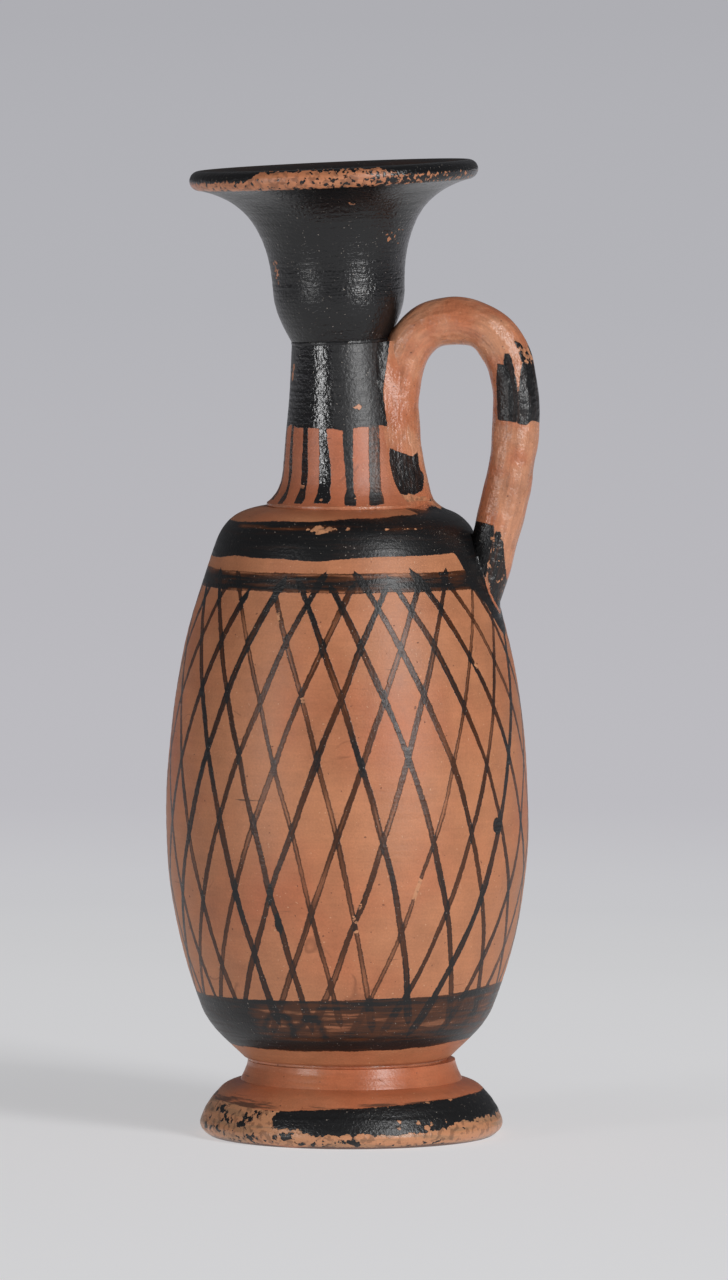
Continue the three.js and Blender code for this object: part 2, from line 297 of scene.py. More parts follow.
# %% Dim the room
ROOM_TONE = colour(178, 178, 183)
ROOM_LIGHT = 0.08
ROOM_SHEEN = 0.25
room = bpy.data.worlds.new("room")
room.use_nodes = True
room.node_tree.nodes.clear()
bench = Bench(room.node_tree)
rays = bench.node("LightPath").outputs
plain = bench.span(rays["Is Camera Ray"], ROOM_LIGHT, 1.0)
strength = bench.most(plain, bench.times(rays["Is Glossy Ray"], ROOM_SHEEN))
air = bench.node("Background", {"Color": ROOM_TONE, "Strength": strength})
bench.node("OutputWorld", {"Surface": air.outputs[0]})
scene.world = room
print("room lights at", ROOM_LIGHT, "of its tone")

# %% [markdown]
# ## Outline of the pot
# A thrown pot is an outline turned about an axis. The solid model draws it through stations: a radius, a
# height and the heading of the wall there, in millimetres and degrees. The same stations are used here,
# with the heights of the joints and the widest radii read from the frame, so the fine skins lie exactly
# on the solids. A spline drawn by eye would drift from them.

# %% Draw curves through stations
EASY_PULL = 0.36
FULL_PULL = 0.44


def curve(stations, spacing, pull=EASY_PULL):
    """Points of a smooth wall through stations, about the spacing apart, as rows of radius and height."""
    rows = [np.array([stations[0][:2]], float)]
    for (r0, z0, h0), (r1, z1, h1) in zip(stations, stations[1:]):
        chord = math.hypot(r1 - r0, z1 - z0)
        leave, arrive = math.radians(h0), math.radians(h1)
        corners = np.array([
            (r0, z0),
            (r0 + pull * chord * math.cos(leave), z0 + pull * chord * math.sin(leave)),
            (r1 - pull * chord * math.cos(arrive), z1 - pull * chord * math.sin(arrive)),
            (r1, z1),
        ])
        t = np.linspace(0, 1, max(2, math.ceil(chord / spacing) + 1))[1:, None]
        weights = np.hstack([(1 - t) ** 3, 3 * t * (1 - t) ** 2, 3 * t**2 * (1 - t), t**3])
        rows.append(weights @ corners)
    return np.vstack(rows)


def line(start, end, spacing):
    """Points of a straight wall, without its first point."""
    count = max(1, math.ceil(math.dist(start, end) / spacing))
    return np.linspace(start, end, count + 1)[1:]


def inside(station, wall):
    """The inner side of a wall at a station, for an outline that comes back down."""
    radius, height, heading = station
    angle = math.radians(heading)
    return (radius - wall * math.sin(angle), height + wall * math.cos(angle), heading + 180)


print("a quarter circle in", len(curve([(0, 0, 0), (1, 1, 90)], 0.2)), "points")


# %% Read the joints from the frame
def box_mm(node):
    """Lowest and highest corner of a solid, in millimetres."""
    return [np.array(corner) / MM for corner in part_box(node)]


body_low, body_high = box_mm("body")
POT_AXIS = (body_low[0] + body_high[0]) / 2
FOOT_RADIUS, FOOT_TOP = box_mm("foot")[1][1:]
BODY_BASE, BODY_TOP = body_low[2], body_high[2]
BELLY_RADIUS = body_high[1]
NECK_BASE = box_mm("neck")[0][2]
NECK_BASE_RADIUS = box_mm("neck_slip_joint")[1][1]
NECK_TOP_RADIUS = box_mm("mouth_slip_joint")[1][1]
RIM_RADIUS = box_mm("mouth")[1][1]
SLIP = NECK_BASE - BODY_TOP
print("pot axis", round(POT_AXIS, 2), "belly", round(BELLY_RADIUS, 2), "rim", round(RIM_RADIUS, 2))

# %% [markdown]
# ### Stations
# From the hollow under the foot to the crest of the lip, each station is a place where a potter would feel
# the wall change: the edge of the disc, the knee above the foot, the belly, the shoulder, the waist of the
# neck, the bowl and the flare of the mouth.

# %% Set the stations
NECK_TOP = NECK_BASE + 27.6
MOUTH_BASE = NECK_TOP + SLIP
RIM_TOP = MOUTH_BASE + 30.2
BORE_RADIUS = 5.6
BODY_WALL = 3.8
BODY_FLOOR = 6
MOUTH_WALL = 3.1
LIP_RADIUS = 1.7

foot_hollow = (0, 3, 0)
foot_ring_inner = (FOOT_RADIUS - 7.2, 0, -30)
foot_ring_outer = (FOOT_RADIUS - 1.6, 0, 30)
foot_edge = (FOOT_RADIUS, 2.3, 105)
foot_brow = (22.8, 8, 134)
disc_top = (19.3, 9.6, 166)
stem_foot = (19.3, 9.6, 112)
stem_top = (18.1, FOOT_TOP, 96)
body_base = (18.1, BODY_BASE, 46)
knee = (25.5, BODY_BASE + 9, 69)
belly = (BELLY_RADIUS, BODY_BASE + 41.2, 90)
shoulder = (23, BODY_TOP - 6.6, 110)
shoulder_top = (NECK_BASE_RADIUS, BODY_TOP, 172)
neck_base = (NECK_BASE_RADIUS, NECK_BASE, 140)
neck_waist = (11, NECK_BASE + 6.7, 97)
neck_top = (NECK_TOP_RADIUS, NECK_TOP, 95)
mouth_base = (NECK_TOP_RADIUS, MOUTH_BASE, 62)
bowl = (11.5, MOUTH_BASE + 8.5, 88)
flare = (14, MOUTH_BASE + 20, 62)
under_lip = (RIM_RADIUS - LIP_RADIUS, RIM_TOP - 2 * LIP_RADIUS, 14)
lip_crest = (RIM_RADIUS - LIP_RADIUS, RIM_TOP, 180)
print("joints at", [round(v, 1) for v in (BODY_BASE, BODY_TOP, NECK_BASE, NECK_TOP, MOUTH_BASE, RIM_TOP)])

# %% [markdown]
# ## Turning an outline into a skin
# A screw modifier could turn the outline, but the paint needs to know where every vertex lies on the pot.
# So the rings are laid out as arrays. Each vertex keeps its turn (degrees from the side that faces the
# camera, positive to the right), its height and its radius, and unevenness is cut into the radius before
# the ring is placed. Cutting only inwards keeps the skin inside the solid model's box. It also keeps a
# place in millimetres that is squeezed along the marks of the tool, round the pot here and along the coil
# in the handle, so that a texture laid there comes out as fine lines.

# %% Make a skin from rings
SHARP_ANGLE = math.radians(50)


def skin(name, points_mm, faces):
    """A mesh object from points in millimetres, smooth but for its sharp edges."""
    mesh = bpy.data.meshes.new(name)
    mesh.from_pydata((points_mm * MM).tolist(), [], faces)
    shape = bmesh.new()
    shape.from_mesh(mesh)
    bmesh.ops.recalc_face_normals(shape, faces=shape.faces)
    shape.to_mesh(mesh)
    shape.free()
    mesh.shade_smooth()
    mesh.set_sharp_from_angle(angle=SHARP_ANGLE)
    obj = bpy.data.objects.new(name, mesh)
    scene.collection.objects.link(obj)
    print(name, "has", len(mesh.polygons), "faces")
    return obj


def ring_faces(rings, columns, closed):
    """Quads between neighbouring rings of vertices, and from the last ring to the first if closed."""
    pairs = [(i, i + 1) for i in range(rings - 1)] + ([(rings - 1, 0)] if closed else [])
    faces = []
    for low, high in pairs:
        for j in range(columns):
            k = (j + 1) % columns
            faces.append((low * columns + j, low * columns + k, high * columns + k, high * columns + j))
    return faces


print("four rings of six make", len(ring_faces(4, 6, False)), "faces")

# %% Turn an outline
LEAN = math.radians(2.6)
LEAN_LENGTH = 8.0
DRAWN_OUT = 12
ON_AXIS = 1e-6


def leaning(x, z):
    """Bends points along the leaning axis of neck and mouth."""
    climb = np.maximum(z - NECK_BASE, 0)
    angle = LEAN * np.minimum(climb / LEAN_LENGTH, 1)
    straight = np.maximum(climb - LEAN_LENGTH, 0)
    arc = LEAN_LENGTH / LEAN
    axis_x = -arc * (1 - np.cos(angle)) - straight * np.sin(angle)
    axis_z = np.minimum(z, NECK_BASE) + arc * np.sin(angle) + straight * np.cos(angle)
    return axis_x + x * np.cos(angle), axis_z + x * np.sin(angle)


def thrown(name, outside, inner, columns, cut, axis=POT_AXIS):
    """A turned piece from its outside outline and the outline that leads back along its hidden side.

    cut(turn, height) says how deep the outside is cut in, in millimetres. An outline that starts on the
    axis also ends there, and each of those ends is one vertex."""
    outline = np.vstack([outside, inner])
    tips = outline[[0, -1], 1] if outline[0, 0] < ON_AXIS else []
    rows = outline[1:-1] if len(tips) else outline
    at_axis = np.zeros(len(tips))
    count = len(rows) * columns
    turn = np.append(np.tile(np.linspace(-180, 180, columns, endpoint=False), len(rows)), at_axis)
    radius = np.append(np.repeat(rows[:, 0], columns), at_axis)
    height = np.append(np.repeat(rows[:, 1], columns), tips)
    is_out = np.arange(len(turn)) < (len(outside) - len(tips) // 2) * columns
    angle = np.radians(turn + CAMERA_AZIMUTH - 90)
    reach = radius - cut(turn, height) * is_out
    x, y = reach * np.cos(angle), reach * np.sin(angle)
    faces = ring_faces(len(rows), columns, closed=not len(tips))
    for tip in range(len(tips)):
        ring = tip * (count - columns)
        faces += [(ring + j, ring + (j + 1) % columns, count + tip) for j in range(columns)]
    lean_x, lean_z = leaning(x, height)
    points = np.column_stack([lean_x + axis, y, lean_z])
    return SimpleNamespace(
        obj=skin(name, points, faces), points=points, outside=is_out,
        turn=turn, height=height, radius=radius,
        tool=np.column_stack([x / DRAWN_OUT, y / DRAWN_OUT, height]),
    )


print("the neck leans", round(math.degrees(LEAN), 1), "degrees")

# %% [markdown]
# ## Unevenness
# A hand-thrown wall is never exact. Fingers leave a shallow spiral of ridges, and smoothing leaves broad
# flats that break up the highlights. A displacement texture could roughen the skin, but it would also
# push it outwards. Here each is a sum of a few sine waves with seeded phases, from 0 to 1, and whole
# numbers of waves round the pot make it close without a seam.

# %% Make seeded waves
draws = np.random.default_rng(11)
FULL_CIRCLE = 2 * math.pi


def wave_field(turns, lengths, phases):
    """A smooth field from about 0 to 1 over turn (degrees) and height (mm)."""

    def field(turn, height):
        waves = [
            np.sin(k * np.radians(turn) + FULL_CIRCLE * height / length + phase)
            for k, length, phase in zip(turns, lengths, phases)
        ]
        return np.clip(0.5 + sum(waves) / (2.2 * math.sqrt(len(waves))), 0, 1)

    return field


def broad_flats(count=7, most_turns=5, shortest=14.0, longest=60.0):
    """Flats that run round and along the piece alike."""
    turns = draws.integers(0, most_turns + 1, count)
    lengths = draws.uniform(shortest, longest, count) * draws.choice((-1, 1), count)
    return wave_field(turns, lengths, draws.uniform(0, FULL_CIRCLE, count))


def finger_ridges(shortest, longest, count=6):
    """A spiral of fine ridges, set by height and drifting slowly with turn."""
    lengths = draws.uniform(shortest, longest, count)
    phases = draws.uniform(0, FULL_CIRCLE, count)
    return wave_field(draws.integers(0, 3, count), lengths, phases)


def uneven(flats, flat_depth, ridges, ridge_depth, least=0.0):
    """How deep flats and ridges of these depths cut into a wall, in millimetres."""
    return lambda turn, z: least + flat_depth * flats(turn, z) + ridge_depth * ridges(turn, z)


def hand_edge(count=9, most_turns=16):
    """A wavering line round the pot, from about -1 to 1."""
    turns = draws.integers(1, most_turns + 1, count)
    sizes = draws.uniform(0.4, 1.0, count) / np.sqrt(turns)
    phases = draws.uniform(0, FULL_CIRCLE, count)

    def field(turn):
        waves = [size * np.sin(k * np.radians(turn) + p) for k, size, p in zip(turns, sizes, phases)]
        return sum(waves) / sizes.sum() * 1.6

    return field


def wander(size):
    """A slow drift with height, of about this size."""
    lengths = draws.uniform(9, 45, 5)
    phases = draws.uniform(0, FULL_CIRCLE, 5)
    return lambda z: size * sum(np.sin(FULL_CIRCLE * z / k + p) for k, p in zip(lengths, phases)) / 3


print("waves seeded")

# %% [markdown]
# ## Foot
# The foot is a thrown disc with a sloping side, a short stem and a shallow hollow under it, so that it
# rests on a ring. A lathe outline fits it best. The outside is sampled about every third of a millimetre
# along the outline, fine enough for painted edges to follow it, and hidden sides are coarse.

# %% Throw the foot
FINE, COARSE = 0.35, 2.5
TRUE_EDGE = 1.2
foot_wall = uneven(broad_flats(), 0.10, finger_ridges(0.9, 2.6), 0.05)


def foot_cut(turn, height):
    """The resting ring stays true, and the unevenness grows above it."""
    return np.clip(height / TRUE_EDGE, 0, 1) * foot_wall(turn, height)


foot_outside = np.vstack([
    curve([foot_hollow, foot_ring_inner], COARSE),
    line(foot_ring_inner[:2], foot_ring_outer[:2], 1.0),
    curve([foot_ring_outer, foot_edge, foot_brow, disc_top], FINE)[1:],
    curve([stem_foot, stem_top], FINE)[1:],
])
foot_inside = line(stem_top[:2], (0, FOOT_TOP), 6.0)
foot = thrown("foot", foot_outside, foot_inside, 320, foot_cut, axis=0)

# %% [markdown]
# ## Body
# The body is a tall hollow belly that closes to a shoulder with a hole for the neck. It carries the net,
# whose lines are a millimetre wide, so its skin has a vertex about every half millimetre both ways. Its
# inside follows the same stations, one wall thickness in.

# %% Throw the body
BODY_STEP = 0.54
body_cut = uneven(broad_flats(9), 0.16, finger_ridges(1.1, 3.4), 0.035)
body_outside = np.vstack([
    [(0, BODY_BASE)],
    line((0, BODY_BASE), body_base[:2], 3.0),
    curve([body_base, knee, belly, shoulder], BODY_STEP)[1:],
    curve([shoulder, shoulder_top], BODY_STEP, FULL_PULL)[1:],
])
hole_edge = (BORE_RADIUS, BODY_TOP - BODY_WALL, 0)
hollow = [inside(station, BODY_WALL) for station in (shoulder, belly, knee)]
body_inside = np.vstack([
    line(shoulder_top[:2], (BORE_RADIUS, BODY_TOP), COARSE),
    line((BORE_RADIUS, BODY_TOP), hole_edge[:2], COARSE),
    curve([hole_edge, *hollow, (0, BODY_BASE + BODY_FLOOR, 180)], 5.0)[1:],
])
body = thrown("body", body_outside, body_inside, 400, body_cut)

# %% [markdown]
# ## Neck and mouth
# The neck is a tapering tube with a bore, and the mouth is a bell with a thick round lip and an open cup.
# Both lean away from the handle, which the turning takes care of. The neck could be one piece with the
# mouth, but the change of line between them shows that they were thrown apart.

# %% Throw the neck
neck_cut = uneven(broad_flats(6, 3, 10, 30), 0.12, finger_ridges(0.8, 2.4), 0.03)
neck_outside = curve([neck_base, neck_waist, neck_top], FINE)
neck_inside = np.vstack([
    line(neck_top[:2], (BORE_RADIUS, NECK_TOP), COARSE),
    line((BORE_RADIUS, NECK_TOP), (BORE_RADIUS, NECK_BASE), COARSE),
    line((BORE_RADIUS, NECK_BASE), neck_base[:2], COARSE)[:-1],
])
neck = thrown("neck", neck_outside, neck_inside, 240, neck_cut)

# %% Throw the mouth
MOUTH_COLUMNS = 300
mouth_cut = uneven(broad_flats(6, 4, 10, 30), 0.10, finger_ridges(0.8, 2.4), 0.03, least=0.02)
lip_angles = np.linspace(-math.pi / 2, math.pi / 2, 17)[1:]
lip = np.column_stack([
    under_lip[0] + LIP_RADIUS * np.cos(lip_angles),
    under_lip[1] + LIP_RADIUS + LIP_RADIUS * np.sin(lip_angles),
])
cup_stations = [inside(flare, MOUTH_WALL), inside(bowl, MOUTH_WALL), (BORE_RADIUS, MOUTH_BASE, -90)]
cup = curve([lip_crest, *cup_stations], FINE)[1:]
mouth_outside = np.vstack([curve([mouth_base, bowl, flare, under_lip], FINE), lip, cup])
mouth_inside = line((BORE_RADIUS, MOUTH_BASE), mouth_base[:2], COARSE)[:-1]
mouth = thrown("mouth", mouth_outside, mouth_inside, MOUTH_COLUMNS, mouth_cut)

# %% [markdown]
# ## Rings of slip
# Between the sections lies a layer of slip, pressed thin. On the pot it shows as a fine line at each joint.
# A torus would be too round, so the layer is flat, with a rounded edge that ripples a little.

# %% Lay the rings of slip between the sections
BEAD = 0.08
RIPPLE = 0.02


def slip_ring(name, radius, hole, base, columns):
    """A thin layer of slip round a hole, or across the whole joint where the hole is 0."""
    ripple = hand_edge(9, 30)
    bead_angles = np.linspace(-math.pi / 2, math.pi / 2, 9)
    edge = np.column_stack([
        radius - BEAD + BEAD * np.cos(bead_angles),
        base + SLIP / 2 + SLIP / 2 * np.sin(bead_angles),
    ])
    back = line(edge[-1], (hole, base + SLIP), COARSE)
    if hole:
        back = np.vstack([back, line((hole, base + SLIP), (hole, base), COARSE)[:-1]])
    outside = np.vstack([[(hole, base)], line((hole, base), edge[0], COARSE), edge[1:]])
    return thrown(name, outside, back, columns, lambda turn, height: RIPPLE * (1 + ripple(turn)))


foot_slip_radius = box_mm("foot_slip_joint")[1][1]
foot_slip = slip_ring("foot_slip_joint", foot_slip_radius, 0, FOOT_TOP, 240)
neck_slip = slip_ring("neck_slip_joint", NECK_BASE_RADIUS, BORE_RADIUS, BODY_TOP, 240)
mouth_slip = slip_ring("mouth_slip_joint", NECK_TOP_RADIUS, BORE_RADIUS, NECK_TOP, 200)

# %% [markdown]
# ## Handle
# The handle is a coil rolled between the hands: nearly round, with flats, faint grooves along its length
# and small dents from the fingers. Its middle line runs through the same stations as in the solid model,
# from the root in the shoulder up the neck, over the arch and down to the wall. A curve with a bevel would
# give a plain tube, so the rings are laid here one by one and each gets its own unevenness.

# %% Bend the middle line of the handle
COIL_RADIUS = 4.25
COIL_STEP = 0.45
HANDLE_REACH = 29.6
HANDLE_TURN = 90 - CAMERA_AZIMUTH
arch_top = MOUTH_BASE + 3.4
spring = arch_top - 15.3
heel_height = BODY_TOP - 20.5
neck_leg = NECK_TOP_RADIUS
body_wall = curve([belly, shoulder], 0.2)
heel_wall = np.interp(heel_height, body_wall[:, 1], body_wall[:, 0])
handle_root = (NECK_BASE_RADIUS - COIL_RADIUS / 2, BODY_TOP - 2.8, 108)
inner_spring = (neck_leg, spring, 90)
crown = ((neck_leg + HANDLE_REACH) / 2, arch_top, 0)
outer_spring = (HANDLE_REACH, spring, -90)
heel = (heel_wall - 5.7, heel_height, -104)
middle = np.vstack([
    curve([handle_root, inner_spring], COIL_STEP),
    curve([inner_spring, crown, outer_spring], COIL_STEP, FULL_PULL)[1:],
    curve([outer_spring, heel], COIL_STEP)[1:],
])
along = np.append(0, np.cumsum(np.hypot(*np.diff(middle, axis=0).T)))
print("handle:", round(along[-1], 1), "mm along its middle")

# %% Roll the handle
COIL_SIDES = 96
coil_flats = broad_flats(7, 2, 12, 40)
coil_grooves = broad_flats(10, 16, 60, 200)
coil_dents = broad_flats(14, 5, 4, 12)

slope = np.gradient(middle, along, axis=0)
slope /= np.linalg.norm(slope, axis=1)[:, None]
outward = np.repeat(np.column_stack([-slope[:, 1], slope[:, 0]]), COIL_SIDES, axis=0)
centre = np.repeat(middle, COIL_SIDES, axis=0)
ring_along = np.repeat(along, COIL_SIDES)
spin = np.tile(np.linspace(-180, 180, COIL_SIDES, endpoint=False), len(along))
coil_cut = 0.02 + 0.26 * coil_flats(spin, ring_along) + 0.05 * coil_grooves(spin, ring_along)
coil_radius = COIL_RADIUS - coil_cut - 0.12 * coil_dents(spin, ring_along)
coil_out = coil_radius * np.cos(np.radians(spin))
coil_y = coil_radius * np.sin(np.radians(spin))
coil_x, coil_z = (centre + coil_out[:, None] * outward).T
coil_faces = ring_faces(len(along), COIL_SIDES, False)
last_ring = len(coil_x) - COIL_SIDES
coil_faces += [tuple(range(COIL_SIDES)), tuple(range(last_ring, len(coil_x)))]
coil_points = np.column_stack([coil_x + POT_AXIS, coil_y, coil_z])
handle = SimpleNamespace(
    obj=skin("handle", coil_points, coil_faces), points=coil_points, height=coil_z, radius=coil_radius,
    tool=np.column_stack([coil_out, coil_y, ring_along / DRAWN_OUT]),
    turn=np.full_like(coil_x, HANDLE_TURN), outside=np.ones(len(coil_x), bool),
)

# %% [markdown]
# ## Beds of slip under the handle
# Where the coil meets the wall, the potter smeared slip into the corner with a finger. The bed is a patch
# of the wall, lifted until it lies on a smooth join of wall and coil: near the corner both distances are
# small, and the join bulges out of it. A bevel on a boolean would need the two solids to be cut first.
# The patch uses the wall's own outline and unevenness, so its rim melts into the wall.

# %% Shape a bed
BED_SINK = 0.03
BED_DEPTH = 1.0
BED_REACH = 3.5
BED_COLUMNS = 120
LIFT_ROUNDS, LIFT_SHARE = 24, 0.8
COIL_CORE = COIL_RADIUS - 0.45


def bed_faces(rows, columns):
    """Front and back quads of a patch, and the strip round its rim."""
    count = rows * columns
    faces = []
    for i in range(rows - 1):
        for j in range(columns - 1):
            quad = [i * columns + j, i * columns + j + 1, (i + 1) * columns + j + 1, (i + 1) * columns + j]
            faces += [tuple(quad), tuple(v + count for v in reversed(quad))]
    rim = list(range(columns))
    rim += [i * columns + columns - 1 for i in range(1, rows)]
    rim += list(range(count - 2, count - columns - 1, -1))
    rim += [i * columns for i in range(rows - 2, 0, -1)]
    return faces + [(a, b, b + count, a + count) for a, b in zip(rim, rim[1:] + rim[:1])]


def slip_bed(name, wall, cut, half_turn, leg, smear):
    """A patch of wall, given as an outline, that joins a leg of the coil smoothly within the smear."""
    tangent = np.gradient(wall, axis=0)
    tangent /= np.linalg.norm(tangent, axis=1)[:, None]
    normal = np.repeat(np.column_stack([tangent[:, 1], -tangent[:, 0]]), BED_COLUMNS, axis=0)
    turns = np.linspace(HANDLE_TURN - half_turn, HANDLE_TURN + half_turn, BED_COLUMNS)
    turn = np.tile(turns, len(wall))
    height = np.repeat(wall[:, 1], BED_COLUMNS)
    radius = np.repeat(wall[:, 0], BED_COLUMNS) - cut(turn, height)
    angle = np.radians(turn + CAMERA_AZIMUTH - 90)
    count = len(turn)

    def placed(lift):
        reach = radius + lift * normal[:, 0]
        x, z = leaning(reach * np.cos(angle), height + lift * normal[:, 1])
        return np.column_stack([x, reach * np.sin(angle), z])

    def outside_join(lift):
        """How far a point at this lift lies outside the smooth join."""
        points = placed(lift)
        to_coil = np.full(count, np.inf)
        for x, z in leg:
            to_coil = np.minimum(to_coil, np.linalg.norm(points - (x, 0, z), axis=1))
        to_coil -= COIL_CORE
        blend = np.clip(1 - np.abs(lift - to_coil) / smear, 0, 1)
        return np.minimum(lift, to_coil) - smear / 4 * blend**2

    lift = np.zeros(count)
    for _ in range(LIFT_ROUNDS):
        lift = np.clip(lift - LIFT_SHARE * np.minimum(outside_join(lift), 0), 0, BED_REACH)
    points = np.vstack([placed(lift - BED_SINK), placed(np.full(count, -BED_DEPTH))]) + (POT_AXIS, 0, 0)
    return SimpleNamespace(
        obj=skin(name, points, bed_faces(len(wall), BED_COLUMNS)), points=points, turn=np.tile(turn, 2),
        height=np.tile(height, 2), radius=np.tile(radius, 2), outside=np.arange(2 * count) < count,
        tool=points / (1, 1, DRAWN_OUT),
    )


print("beds lift up to", BED_REACH, "mm")

# %% Smear the beds
LOWER_SMEAR, UPPER_SMEAR = 1.4, 3.4
LOWER_HALF_TURN, UPPER_HALF_TURN = 20, 58
LOWER_START, LOWER_END = 84, 101
root_leg, heel_leg = middle[:90], middle[-60:]
lower_wall = body_wall[(body_wall[:, 1] > LOWER_START) & (body_wall[:, 1] < LOWER_END)]
lower_bed = slip_bed(
    "handle_lower_slip_joint", lower_wall, body_cut, LOWER_HALF_TURN, heel_leg, LOWER_SMEAR
)
upper_wall = np.vstack([
    curve([shoulder, shoulder_top], 0.3, FULL_PULL)[8:],
    curve([neck_base, neck_waist, neck_top], 0.3),
])
upper_bed = slip_bed(
    "handle_upper_slip_joint", upper_wall, neck_cut, UPPER_HALF_TURN, root_leg, UPPER_SMEAR
)

# %% [markdown]
# ## Painting
# The black on the pot is a fine slip laid on with a brush. It could be a painted picture wrapped round the
# pot, but a picture blurs up close. So it is kept as a painter's map on the vertices: how far a point lies
# inside the edge of the paint, in millimetres, how full the brush was, how worn the paint is, how far the
# clay is darkened by stains and by painted shade, and how dull the paint has become. Distances blend well
# between vertices, and the shader roughens the edge later.

# %% Make a brush
BARE = -20.0
SOFT_EDGE = 0.5


def store(piece, **fields):
    """Keeps named values or vectors on the vertices of a piece."""
    for name, values in fields.items():
        kind, key = ("FLOAT_VECTOR", "vector") if values.ndim > 1 else ("FLOAT", "value")
        layer = piece.obj.data.attributes.new(name, kind, "POINT")
        layer.data.foreach_set(key, values.astype(np.float32).ravel())


def fading(depth, over=1.0):
    """1 inside a shape, 0 outside it, and a slope of this many millimetres across its edge."""
    return np.clip(depth / over + 0.5, 0, 1)


def off_segment(aside, up, run, rise):
    """How far points lie from a segment, from their place and its end as seen from its start."""
    share = np.clip((aside * run + up * rise) / (run**2 + rise**2), 0, 1)
    return np.hypot(aside - share * run, up - share * rise)


class Canvas:
    """One piece, with what the brush and the years have left on it and any painted shade."""

    def __init__(self, piece):
        self.piece = piece
        count = len(piece.turn)
        self.paint = np.full(count, BARE)
        self.load = np.zeros(count)
        self.wear = np.zeros(count)
        self.stain = np.zeros(count)
        self.dull = np.zeros(count)

    def across(self, turn):
        """Millimetres along the wall from a turn, positive to the right."""
        return np.radians((self.piece.turn - turn + 180) % 360 - 180) * self.piece.radius

    def by_turn(self, turns, values):
        """A value that changes with the turn, through pairs of turns and values."""
        return np.interp(self.piece.turn, turns, values, period=360)

    def wavering(self, size):
        return size * hand_edge()(self.piece.turn)

    def spot(self, turn, height, half_width, half_height):
        """How far each point lies inside an oval."""
        far = np.hypot(self.across(turn) / half_width, (self.piece.height - height) / half_height)
        return (1 - far) * min(half_width, half_height)

    def beside(self, points, width):
        """How far each point lies inside a line of this width through points of turn and height."""
        depth = np.full(len(self.paint), BARE)
        for (t0, z0), (t1, z1) in zip(points, points[1:]):
            run = np.radians(t1 - t0) * self.piece.radius
            off = off_segment(self.across(t0), self.piece.height - z0, run, z1 - z0)
            depth = np.maximum(depth, width / 2 - off)
        return depth

    def lay(self, depth, load):
        """Adds a shape: depth is how far each point lies inside its edge. Paint over paint is darker."""
        depth = np.where(self.piece.outside, depth, BARE)
        share, before = fading(depth, SOFT_EDGE), fading(self.paint, SOFT_EDGE)
        both = 1 - (1 - self.load * before) * (1 - load * share)
        lone = np.where(depth > self.paint, load, self.load)
        self.load = np.where((share > 0) & (before > 0), both, lone)
        self.paint = np.maximum(self.paint, depth)

    def band(self, low, high, load, waver=0.3):
        """A band round the pot between two heights, with wavering edges."""
        z = self.piece.height
        self.lay(np.minimum(z - low - self.wavering(waver), high + self.wavering(waver) - z), load)

    def thin(self, depth, load):
        """Thins the paint inside a shape to this load, fading over its last half millimetre."""
        self.load = np.minimum(self.load, 1 - (1 - load) * fading(depth, 0.5))

    def bare(self, depth):
        """Leaves the clay bare inside a shape."""
        self.paint = np.minimum(self.paint, -depth)

    def rub(self, depth, wear):
        """Wears the paint inside a shape, fading over its last millimetre."""
        self.wear = np.maximum(self.wear, wear * fading(depth))

    def chip(self, chips):
        """Wears ovals, given by turn, height, half width, half height and wear."""
        for *oval, wear in chips:
            self.rub(self.spot(*oval), wear)

    def guard(self, depth, wear):
        """Keeps the wear inside a shape down to this much."""
        self.wear = np.minimum(self.wear, 1 - (1 - wear) * fading(depth))

    def darken_clay(self, depth, stain):
        """Darkens the clay inside a shape, for stains and painted shade, fading over its last millimetre."""
        self.stain = np.maximum(self.stain, stain * fading(depth))

    def keep(self):
        """Stores the map on the mesh."""
        store(self.piece, paint=self.paint, load=self.load, wear=self.wear, stain=self.stain)
        store(self.piece, dull=self.dull, height=self.piece.height, tool=self.piece.tool)
        print(self.piece.obj.name, "is painted over", f"{(self.paint > 0).mean():.0%}", "of its vertices")


print("brush ready, edges soft over", SOFT_EDGE, "mm")

# %% [markdown]
# ### The net
# The painter drew long strokes from the band under the shoulder to the band above the foot, first one
# way and then the other. Each stroke is given by the turns where it starts and ends, its width and how
# full the brush was. On the wall it advances faster where the pot is narrow, because a straight pull of
# the brush crosses more degrees there. Strokes on the hidden side carry on at an even spacing.
#
# The lines are only a millimetre wide, about two vertices, so their distance is stored in its own way: it
# changes sign from each stroke to the next. It then runs straight through zero at every stroke and keeps
# its edges sharp between vertices. That needs an even number of strokes.

# %% List the strokes
NET_TOP, NET_LOW = 96.0, 24.0
NET_SPACING = 13.6
# Turn at the top, turn at the bottom, width in mm, load of the brush, height where the stroke starts.
FALLING = [
    (-92, -46, 1.1, 0.7, 97.5), (-74, -29, 1.25, 0.9, 97.8), (-60.4, -16, 1.1, 0.8, 99.3),
    (-47, -4, 0.85, 0.55, 99.3), (-29.5, 8.5, 0.95, 0.55, 96.2), (-17.7, 24, 1.1, 0.8, 98.3),
    (-5.3, 42.7, 1.1, 0.8, 97.2), (8.1, 59, 1.1, 0.72, 99.8), (20.3, 75.4, 1.05, 0.78, 98.5),
    (33, 92, 1.1, 0.85, 100.0), (46, 107, 0.95, 0.6, 98.9),
]
RISING = [
    (-56, -116, 1.1, 0.7, 97.5), (-42, -100, 1.2, 0.85, 96.2), (-28.4, -84, 1.3, 0.95, 98.3),
    (-12.9, -71, 1.05, 0.75, 99.6), (1.2, -57, 1.05, 0.62, 97.4), (14.6, -43, 1.1, 0.8, 97.1),
    (28.5, -26.5, 1.05, 0.62, 97.0), (41, -10, 1.05, 0.65, 99.9), (58.7, 6.5, 0.8, 0.5, 96.2),
    (74.6, 19.4, 1.0, 0.7, 97.0), (88, 32, 1.3, 0.95, 97.5), (105.6, 47, 1.1, 0.75, 97.5),
]
PLAIN = (1.1, 0.72, 97.6)


